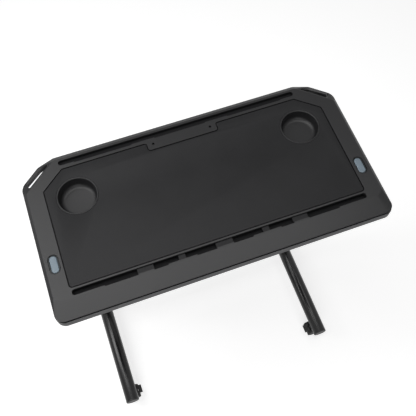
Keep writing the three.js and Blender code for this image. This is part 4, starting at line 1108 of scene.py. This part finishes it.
@dataclass
class TelescopingColumn:
    """Fixed column with its height holes, moving column, guide collar and cast foot.

    A section is half its width, half its length and its corner radius. The foot's profile is drawn about the column.
    """

    plan: FramePlan
    outer: Triple = (17.0, 30.0, 7.0)
    inner: Triple = (13.0, 26.0, 5.0)
    wall: float = 2.0
    outer_span: Point = (106.3, 760.0)
    inner_span: Point = (400.0, 936.0)
    hole_radius: float = 5.3
    first_hole: float = 310.0
    pitch: float = 30.0
    holes: int = 13
    lock_height: float = 430.0
    edge: float = 0.45
    collar_wall: float = 4.3
    collar_radius: float = 9.0
    collar_profile: tuple[Point, ...] = ((-0.6, -18.0), (0.0, -17.0), (0.0, 5.0), (-0.8, 7.0), (-2.4, 8.0))
    collar_edge: float = 0.8
    sleeve_span: Point = (-60.0, 4.0)
    foot_half: float = 38.0
    foot_profile: tuple[Corner, ...] = ((26, 76, 1.5), (26, 100, 8), (22, 114, 8), (22, 152, 2))
    foot_upper: Triple = (31.0, 36.0, 7.0)
    foot_lower: Triple = (31.0, 38.0, 4.0)
    foot_levels: Triple = (70.0, 114.0, 160.0)
    foot_seat: float = 106.0
    foot_edge: float = 1.0
    foot_bolt: Triple = (26.0, 26.0, 92.0)
    bolt: Point = (5.5, 3.6)

    def section(self, half: Triple, grow_by: float = 0.0) -> list[Point]:
        """Rounded rectangular section about the column's axis."""
        half_x, half_y, radius = (value + grow_by for value in half)
        return rounded(rectangle(self.plan.x, self.plan.y, half_x, half_y, radius), 8)

    def tube(self, name: str, half: Triple, span: Point, heights: Sequence[float]) -> bpy.types.Object:
        """Rectangular tube with pin holes in its near wall at chosen heights."""
        obj = slab(name, self.section(half), *span)
        cut(obj, slab("bore", self.section(half, -self.wall), span[0] - OVERRUN, span[1] + OVERRUN))
        near = self.plan.y - half[1]
        cut(obj, *[rod("hole", self.hole_radius, near - OVERRUN, near + OVERRUN, (self.plan.x, 0, z), Axis.Y)
                   for z in heights])
        bevel(obj, sharp_edges(40), self.edge)
        return shade(obj)

    def collar(self) -> bpy.types.Object:
        """Guide collar on the outer column, with a sleeve round the inner one."""
        seat_z = self.outer_span[1]
        low, top = (seat_z + self.collar_profile[i][1] for i in (0, -1))
        half_x, half_y, radius = self.outer
        cap = (half_x + self.collar_wall, half_y + self.collar_wall, self.collar_radius)
        obj = loft("collar", [(self.section(cap, grow_by), seat_z + z) for grow_by, z in self.collar_profile])
        seat = (half_x + SEAT_GAP, half_y + SEAT_GAP, radius)
        cut(obj, slab("seat", self.section(seat), low - OVERRUN, seat_z + SEAT_GAP))
        sleeve_in = self.wall + SEAT_GAP
        sleeve = (half_x - sleeve_in, half_y - sleeve_in, radius - self.wall)
        sleeve_low, sleeve_high = (seat_z + z for z in self.sleeve_span)
        join(obj, slab("sleeve", self.section(sleeve), sleeve_low, sleeve_high))
        bore = (self.inner[0] + SEAT_GAP, self.inner[1] + SEAT_GAP, self.inner[2])
        cut(obj, slab("bore", self.section(bore), sleeve_low - 2 * OVERRUN, top + OVERRUN))
        bevel(obj, edges_from(top, 50), self.collar_edge)
        return shade(obj, 40)

    def foot(self) -> bpy.types.Object:
        """Cast saddle on the floor tube with a socket for the column."""
        x, y, length = self.plan.x, self.plan.y, self.foot_half
        low, shoulder, high = self.foot_levels
        *others, first = both_sides(self.foot_profile)
        profile = rounded([(x + across, z, r) for across, z, r in (first, *others)], 5)
        obj = slab("foot", profile, y - length, y + length, Axis.Y)
        upper = slab("upper", rounded(rectangle(x, y, *self.foot_upper), 8), shoulder, high)
        join(upper, slab("lower", rounded(rectangle(x, y, *self.foot_lower), 6), low, shoulder + 0.5))
        combine(obj, "INTERSECT", upper)
        saddle = rod("saddle", self.plan.tube_radius + SEAT_GAP, y - length - OVERRUN, y + length + OVERRUN,
                     (x, 0, self.plan.tube_z), Axis.Y, Facets.LARGE)
        cut(obj, saddle, slab("bore", self.section(self.outer, SEAT_GAP / 2), self.foot_seat, high))
        soften(obj, self.foot_edge, 3, 40)
        return shade(obj, 40)

    def build(self) -> None:
        """Models the right hand column's pieces and their mirror images."""
        heights = [self.first_hole + k * self.pitch for k in range(self.holes)]
        outer = self.tube("outer", self.outer, self.outer_span, heights)
        fit_pair(outer, "outer_tube", "base", "frame_paint", POWDER_COAT, "outer_column")
        inner = self.tube("inner", self.inner, self.inner_span, [self.lock_height])
        fit_pair(inner, "inner_tube", "desk", "column_paint", COLUMN_COAT, "inner_column")
        fit_pair(self.collar(), "guide_collar", "base", "black_plastic", BLACK_NYLON, "column_collar")
        fit_pair(self.foot(), "cast_foot", "base", "frame_paint", POWDER_COAT, "column_foot")
        bolt = SocketBolt(*self.bolt).build()
        outwards = Matrix.Rotation(math.pi / 2, 4, "Y")
        reach_x, reach_y, z = self.foot_bolt
        for i, y in enumerate((self.plan.y - reach_y, self.plan.y + reach_y)):
            for j, (x, turn) in enumerate(((self.plan.x + reach_x, outwards),
                                           (self.plan.x - reach_x, outwards.inverted()))):
                head = copied(bolt, "bolt", shift(x, y, z) @ turn)
                fit_pair(head, f"foot_bolt_{i}{j}", "base", "steel", ZINC_STEEL)
        discard(bolt)


@dataclass
class FloorFrame:
    """Floor tubes with their caps, and the crossbar between the columns.

    The crossbar and its flanges are given as half their depth, half their height and their corner radius.
    """

    plan: FramePlan
    half_length: float = 240.0
    edge: float = 0.4
    socket_hole: float = 8.3
    socket_low: float = 50.0
    plug_depth: float = 15.0
    plug_lead: Point = (1.0, 2.0)
    cap_height: float = 5.0
    cap_round: float = 2.4
    dish_radius: float = 12.0
    dish_depth: float = 0.6
    bar_z: float = 205.0
    bar_half: float = 327.7
    bar: Triple = (12.5, 25.0, 6.0)
    bar_edge: float = 0.8
    flange: Triple = (22.0, 39.0, 6.0)
    flange_depth: float = 6.0
    drain: Triple = (2.5, 175.0, 184.0)
    bolt: Point = (5.0, 3.4)
    bolt_reach: Point = (13.0, 32.0)

    def floor_tube(self) -> bpy.types.Object:
        """Round tube with a hole for each caster's socket."""
        p, reach = self.plan, self.half_length
        at = (p.x, 0, p.tube_z)
        obj = rod("tube", p.tube_radius, -reach, reach, at, Axis.Y, Facets.TUBE)
        cut(obj, rod("bore", p.tube_radius - p.tube_wall, -reach - OVERRUN, reach + OVERRUN, at, Axis.Y, Facets.TUBE))
        cut(obj, *[rod("hole", self.socket_hole, self.socket_low, p.tube_z, (p.x, end.value * p.caster_y, 0))
                   for end in End])
        bevel(obj, sharp_edges(40), self.edge)
        return shade(obj)

    def cap(self) -> bpy.types.Object:
        """Plug with a domed head, about the origin with its seat at zero."""
        edge = self.plan.tube_radius
        inside = edge - self.plan.tube_wall - SEAT_GAP
        lead_in, lead_up = self.plug_lead
        top, dish = self.cap_height, self.cap_height - self.dish_depth
        profile = [(0, -self.plug_depth), (inside - lead_in, -self.plug_depth), (inside, lead_up - self.plug_depth),
                   (inside, SEAT_GAP), (edge, SEAT_GAP),
                   *arc(edge - self.cap_round, top - self.cap_round, self.cap_round, 0, 90, 6),
                   (self.dish_radius, top), (self.dish_radius - self.dish_depth, dish), (0, dish)]
        return shade(lathe("cap", profile, (0, 0, 0), Axis.Y, Facets.TUBE), 25)

    def crossbar(self) -> bpy.types.Object:
        """Rectangular bar with a flange at each end."""
        half, y, z = self.bar_half, self.plan.y, self.bar_z
        obj = slab("crossbar", rounded(rectangle(y, z, *self.bar), 8), -half, half, Axis.X)
        flange = rounded(rectangle(y, z, *self.flange), 8)
        join(obj, slab("flange", flange, -half, self.flange_depth - half, Axis.X),
             slab("flange", flange, half - self.flange_depth, half, Axis.X))
        cut(obj, rod("drain", *self.drain, (0, y, 0)))
        bevel(obj, lambda a, b, fold: fold > 50 and half - abs(a.x) > TOUCH, self.bar_edge)
        return shade(obj)

    def build(self) -> None:
        """Models the frame's pieces and dresses them."""
        p = self.plan
        fit_pair(self.floor_tube(), "round_tube", "base", "frame_paint", POWDER_COAT, "floor_tube")
        cap = self.cap()
        for end in End:
            turn = Matrix.Rotation(math.pi if end is End.NEAR else 0, 4, "Z")
            head = copied(cap, "cap", shift(p.x, end.value * self.half_length, p.tube_z) @ turn)
            fit_pair(head, f"end_cap_{end.label}", "base", "black_plastic", BLACK_NYLON, f"tube_cap_{end.label}")
        discard(cap)
        fit(self.crossbar(), Fitting("base", "frame_paint", POWDER_COAT, ("crossbar",)))
        bolt = SocketBolt(*self.bolt).build()
        inwards = Matrix.Rotation(-math.pi / 2, 4, "Y")
        reach_y, reach_z = self.bolt_reach
        for i, z in enumerate((self.bar_z - reach_z, self.bar_z + reach_z)):
            for j, y in enumerate((p.y - reach_y, p.y + reach_y)):
                head = copied(bolt, "bolt", shift(self.bar_half - self.flange_depth, y, z) @ inwards)
                fit_pair(head, f"flange_bolt_{i}{j}", "base", "steel", ZINC_STEEL)
        discard(bolt)


# Casters


@dataclass
class Caster:
    """Twin wheel caster with a hood and a brake lever, drawn about its swivel axis with the wheels towards -X.

    Profiles are radius and place along the axle or the stem. The pad of the lever is drawn about its pin.
    """

    plan: FramePlan
    trail: float = 8.0
    wheel: float = 21.0
    web: float = 5.5
    half_width: float = 22.0
    hood: Point = (4.0, 1.5)
    hood_sweep: Point = (12.0, 104.0)
    web_end: float = 128.0
    boss: float = 7.0
    axle: Point = (3.0, 18.5)
    edge: float = 0.7
    stem: tuple[Point, ...] = ((0, 44), (11.4, 44), (12, 44.6), (12, 49), (11, 50), (5, 50), (5, 85), (4, 86),
                               (0, 86))
    tread: tuple[Point, ...] = ((16.2, 6.8), (17.0, 6.0), (19.2, 6.0), (20.4, 6.5), (21, 7.8), (21, 13.0),
                                (20.5, 13.3), (20.5, 14.2), (21, 14.5), (21, 19.7), (20.4, 21.0), (19.2, 21.5),
                                (17.2, 21.5), (16.2, 20.7))
    disc: tuple[Point, ...] = ((0, 18.8), (3.06, 18.8), (3.06, 6.3), (16.0, 6.3), (16.0, 20.2), (15.4, 20.8),
                               (14.6, 20.8), (13.8, 19.2), (7.0, 19.2), (6.4, 20.0), (5.6, 20.3), (0, 20.3))
    pockets: int = 6
    pocket: Point = (2.4, 10.4)
    pocket_span: Point = (14.0, 22.0)
    pivot: Point = (-22.0, 42.5)
    pivot_boss: float = 3.5
    pin: Point = (2.0, 12.9)
    pin_gap: float = 0.06
    barrel: float = 3.7
    lever_half: float = 13.0
    lever_edge: float = 0.35
    pad: tuple[Corner, ...] = ((-17, -5, 1), (-3.2, -6.6, 1), (0, 0, 0), (0, 3.7, 0), (-17, -1.5, 1))
    ridge: Triple = (0.8, 11.0, 3.5)
    ridges: tuple[float, ...] = (-8.0, -11.0, -14.0)
    slot: Point = (-4.2, 9.0)

    def housing(self) -> bpy.types.Object:
        """Hood over both wheels, with the web between them, the axle and the swivel stem."""
        x, z = -self.trail, self.wheel
        outer, inner = (z + gap for gap in self.hood)
        start, end = self.hood_sweep
        pivot = (self.pivot[0], 0, self.pivot[1])
        hood = slab("hood", [*arc(x, z, outer, start, end, 18), *arc(x, z, inner, end, start, 18)],
                    -self.half_width, self.half_width, Axis.Y)
        web = slab("web", [(x, z), *arc(x, z, outer, start, self.web_end, 20)], -self.web, self.web, Axis.Y)
        join(web, rod("boss", self.boss, -self.web, self.web, (x, 0, z), Axis.Y),
             rod("pivot", self.pivot_boss, -self.web, self.web, pivot, Axis.Y))
        cut(web, rod("bore", self.pin[0] + self.pin_gap, -2 * self.web, 2 * self.web, pivot, Axis.Y))
        join(hood, web)
        bevel(hood, sharp_edges(50), self.edge)
        radius, reach = self.axle
        join(hood, rod("axle", radius, -reach, reach, (x, 0, z), Axis.Y), lathe("stem", self.stem))
        return shade(hood)

    def tyre(self, sign: int) -> bpy.types.Object:
        """Tread with rounded shoulders and a groove round its middle, on one side of the web."""
        flat = [(r, sign * along) for r, along in self.tread]
        return shade(lathe("tyre", flat, (-self.trail, 0, self.wheel), Axis.Y, Facets.LARGE), 50)

    def hub(self, sign: int) -> bpy.types.Object:
        """Moulded hub with a raised boss and a ring of pockets."""
        flat = [(r, sign * along) for r, along in self.disc]
        obj = lathe("hub", flat, (0, 0, 0), Axis.Y, Facets.HUB)
        low, high = sorted(sign * along for along in self.pocket_span)
        radius, out = self.pocket
        angles = [2 * math.pi * k / self.pockets for k in range(self.pockets)]
        cut(obj, *[rod("pocket", radius, low, high, (out * math.cos(a), 0, out * math.sin(a)), Axis.Y, Facets.POCKET)
                   for a in angles])
        obj.data.transform(shift(-self.trail, 0, self.wheel))
        return shade(obj)

    def brake(self) -> bpy.types.Object:
        """Foot lever on a pin through the web, with three grip ridges and a nose over the treads."""
        x, z = self.pivot
        outline = rounded([(x + across, z + up, r) for across, up, r in self.pad], 4)
        obj = slab("brake", outline, -self.lever_half, self.lever_half, Axis.Y)
        join(obj, rod("barrel", self.barrel, -self.lever_half, self.lever_half, (x, 0, z), Axis.Y))
        (high_x, high_z, _), (low_x, low_z, _) = self.pad[-2:]
        slope = (high_z - low_z) / (high_x - low_x)
        radius, half, up = self.ridge
        for along in self.ridges:
            join(obj, rod("ridge", radius, -half, half, (x + along, 0, z + up + along * slope), Axis.Y, Facets.RIDGE))
        back, out = self.slot
        slot = [(x + back, z - out), (x + out, z - out), (x + out, z + out), (x + back, z + out)]
        cut(obj, slab("slot", slot, -self.web - SEAT_GAP, self.web + SEAT_GAP, Axis.Y))
        soften(obj, self.lever_edge, 2, 50)
        radius, reach = self.pin
        join(obj, rod("pin", radius, -reach, reach, (x, 0, z), Axis.Y))
        return shade(obj, 40)

    def build(self) -> None:
        """Models one caster and copies it to the four tube ends."""
        p = self.plan
        parts = [(self.housing(), "caster_hood", "caster", "caster_housing"),
                 (self.brake(), "brake_lever", "brake", "caster_brake")]
        for end in End:
            for obj, stem, body, node in parts:
                fit_pair(copied(obj, "part", shift(p.x, end.value * p.caster_y, 0)), f"{stem}_{end.label}",
                         f"{body}_{end.label}_{{side}}", "black_plastic", BLACK_NYLON, f"{node}_{end.label}")
        discard(*[part[0] for part in parts])
        for letter, sign in (("a", -1), ("b", 1)):
            tyre, hub = self.tyre(sign), self.hub(sign)
            for side in Side:
                for end in End:
                    place = shift(side.value * p.x, end.value * p.caster_y, 0)
                    if side is Side.LEFT:
                        place = place @ MIRROR
                    tag = f"{end.label}_{side.label}_{letter}"
                    fit(copied(tyre, f"wheel_tread_{tag}", place),
                        Fitting(f"wheel_{tag}", "tread", TREAD_RUBBER, (f"caster_wheel_{tag}",)))
                    fit(copied(hub, f"wheel_hub_{tag}", place), Fitting(f"wheel_{tag}", "tread", HUB_NYLON))
            discard(tyre, hub)


KEPT_FINISHES = {
    "support_arm": POWDER_COAT,
    "column_plug": BLACK_NYLON,
    "button_spring": ZINC_STEEL,
    "release_lever": ZINC_STEEL,
    "pull_rod": ZINC_STEEL,
    "lock_pin": ZINC_STEEL,
    "caster_socket": ZINC_STEEL,
}


def dress_kept_nodes() -> None:
    """Gives the CAD nodes that stay their real surfaces."""
    for name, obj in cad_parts.items():
        for stem, finish in KEPT_FINISHES.items():
            if name.startswith(stem):
                obj.data.materials.clear()
                obj.data.materials.append(finish.material())
                log.info("%s: kept from the CAD frame", name)


# Scene


@dataclass(frozen=True)
class SoftBox:
    """A soft lamp: its place, the point it faces, its width and length in metres, and its power in watts."""

    place: Triple
    aim: Triple
    size: Point
    power: float

    def add(self, name: str) -> None:
        """Hangs the lamp, with its length along Y where it faces down."""
        data = bpy.data.lights.new(name, "AREA")
        data.shape = "RECTANGLE"
        data.size, data.size_y = self.size
        data.energy = self.power
        lamp = bpy.data.objects.new(name, data)
        lamp.visible_camera = False
        bpy.context.scene.collection.objects.link(lamp)
        lamp.location = self.place
        lamp.rotation_euler = (Vector(self.aim) - Vector(self.place)).to_track_quat("-Z", "Y").to_euler()


@dataclass
class Studio:
    """Pale floor, soft lamps and the photograph's camera. Lengths are metres, and angles are degrees."""

    eye: Triple = (-0.21337, -0.61706, 2.22550)
    azimuth: float = 19.924
    elevation: float = 64.372
    roll: float = 0.184
    lens: float = 53.03
    sensor: float = 36.0
    floor_size: float = 14.0
    floor_colour: str = "#cccccc"
    soft_boxes: tuple[SoftBox, ...] = (
        SoftBox((-0.65, 0.05, 2.6), (-0.65, 0.05, 0.95), (1.1, 1.1), 15.5),
        SoftBox((-1.75, 0.4, 2.4), (-0.35, 0.0, 0.3), (0.8, 1.2), 16.0),
        SoftBox((0.43, 0.05, 2.6), (0.43, 0.05, 0.95), (1.05, 1.1), 10.5),
        SoftBox((-0.75, 0.87, 2.6), (-0.6, 0.7, 0.95), (1.0, 0.5), 7.0),
        SoftBox((-0.6, -2.1, 1.9), (0.0, -0.1, 0.9), (1.4, 0.9), 17.0),
    )
    ambient: float = 0.1
    floor_glow: float = 0.71

    def camera(self) -> None:
        """Camera at the photograph's place, from the fit to its features."""
        data = bpy.data.cameras.new("camera")
        data.lens = self.lens
        data.sensor_width = self.sensor
        data.clip_end = 100
        camera = bpy.data.objects.new("camera", data)
        bpy.context.scene.collection.objects.link(camera)
        turn, rise = math.radians(self.azimuth), math.radians(self.elevation)
        forward = Vector((math.sin(turn) * math.cos(rise), math.cos(turn) * math.cos(rise), -math.sin(rise)))
        camera.location = self.eye
        level = forward.to_track_quat("-Z", "Y")
        camera.rotation_euler = (level @ Quaternion((0, 0, 1), math.radians(self.roll))).to_euler()
        bpy.context.scene.camera = camera

    def lights(self) -> None:
        """Soft boxes over the tray and left of it, one that fills its near side, and an even white world."""
        for i, soft_box in enumerate(self.soft_boxes):
            soft_box.add(f"soft_box_{i}")
        world = bpy.data.worlds.new("studio")
        bpy.context.scene.world = world
        world.use_nodes = True
        tree = world.node_tree
        tree.nodes.clear()
        strength = add_node(tree, "ShaderNodeMapRange", {"To Min": self.ambient, "To Max": 1.0},
                            {"Value": self.seen(tree)})
        back = add_node(tree, "ShaderNodeBackground", links={"Strength": strength.outputs[0]})
        add_node(tree, "ShaderNodeOutputWorld", links={"Surface": back.outputs[0]})

    def seen(self, tree: bpy.types.NodeTree) -> bpy.types.NodeSocket:
        """One for rays that show the background: straight to the camera, reflected or through glass."""
        path = add_node(tree, "ShaderNodeLightPath")
        mirror = add_node(tree, "ShaderNodeMath", {"operation": "MAXIMUM"},
                          {0: path.outputs["Is Glossy Ray"], 1: path.outputs["Is Transmission Ray"]})
        return add_node(tree, "ShaderNodeMath", {"operation": "MAXIMUM"},
                        {0: path.outputs["Is Camera Ray"], 1: mirror.outputs[0]}).outputs[0]

    def floor(self) -> None:
        """Plain pale floor, lifted towards white for the camera while it keeps the desk's shadow."""
        deselect()
        bpy.ops.mesh.primitive_plane_add(size=self.floor_size)
        floor = bpy.context.object
        floor.name = "studio_floor"
        material = bpy.data.materials.new("pale_floor")
        material.use_nodes = True
        tree = material.node_tree
        shader = tree.nodes["Principled BSDF"]
        shader.inputs["Base Color"].default_value = linear(self.floor_colour)
        shader.inputs["Roughness"].default_value = 1.0
        shader.inputs["Specular IOR Level"].default_value = 0.0
        glow = add_node(tree, "ShaderNodeMath", {"operation": "MULTIPLY", 1: self.floor_glow}, {0: self.seen(tree)})
        shader.inputs["Emission Color"].default_value = (1, 1, 1, 1)
        tree.links.new(glow.outputs[0], shader.inputs["Emission Strength"])
        floor.data.materials.append(material)

    def build(self) -> None:
        """Sets the whole stage."""
        bpy.context.scene.view_settings.view_transform = "Standard"
        self.camera()
        self.lights()
        self.floor()


def main() -> None:
    """Builds the desk's pieces in order on their CAD bodies."""
    logging.basicConfig(level=logging.INFO, format="%(message)s")
    Studio().build()
    tray, below = TrayPlan(), FramePlan()
    TrayTop(tray).build()
    TrayBase(tray, below).build()
    WorkMat(tray).build()
    CupWell(tray).build()
    ReleaseButton(tray).build()
    TelescopingColumn(below).build()
    FloorFrame(below).build()
    Caster(below).build()
    dress_kept_nodes()


if __name__ == "__main__":
    main()
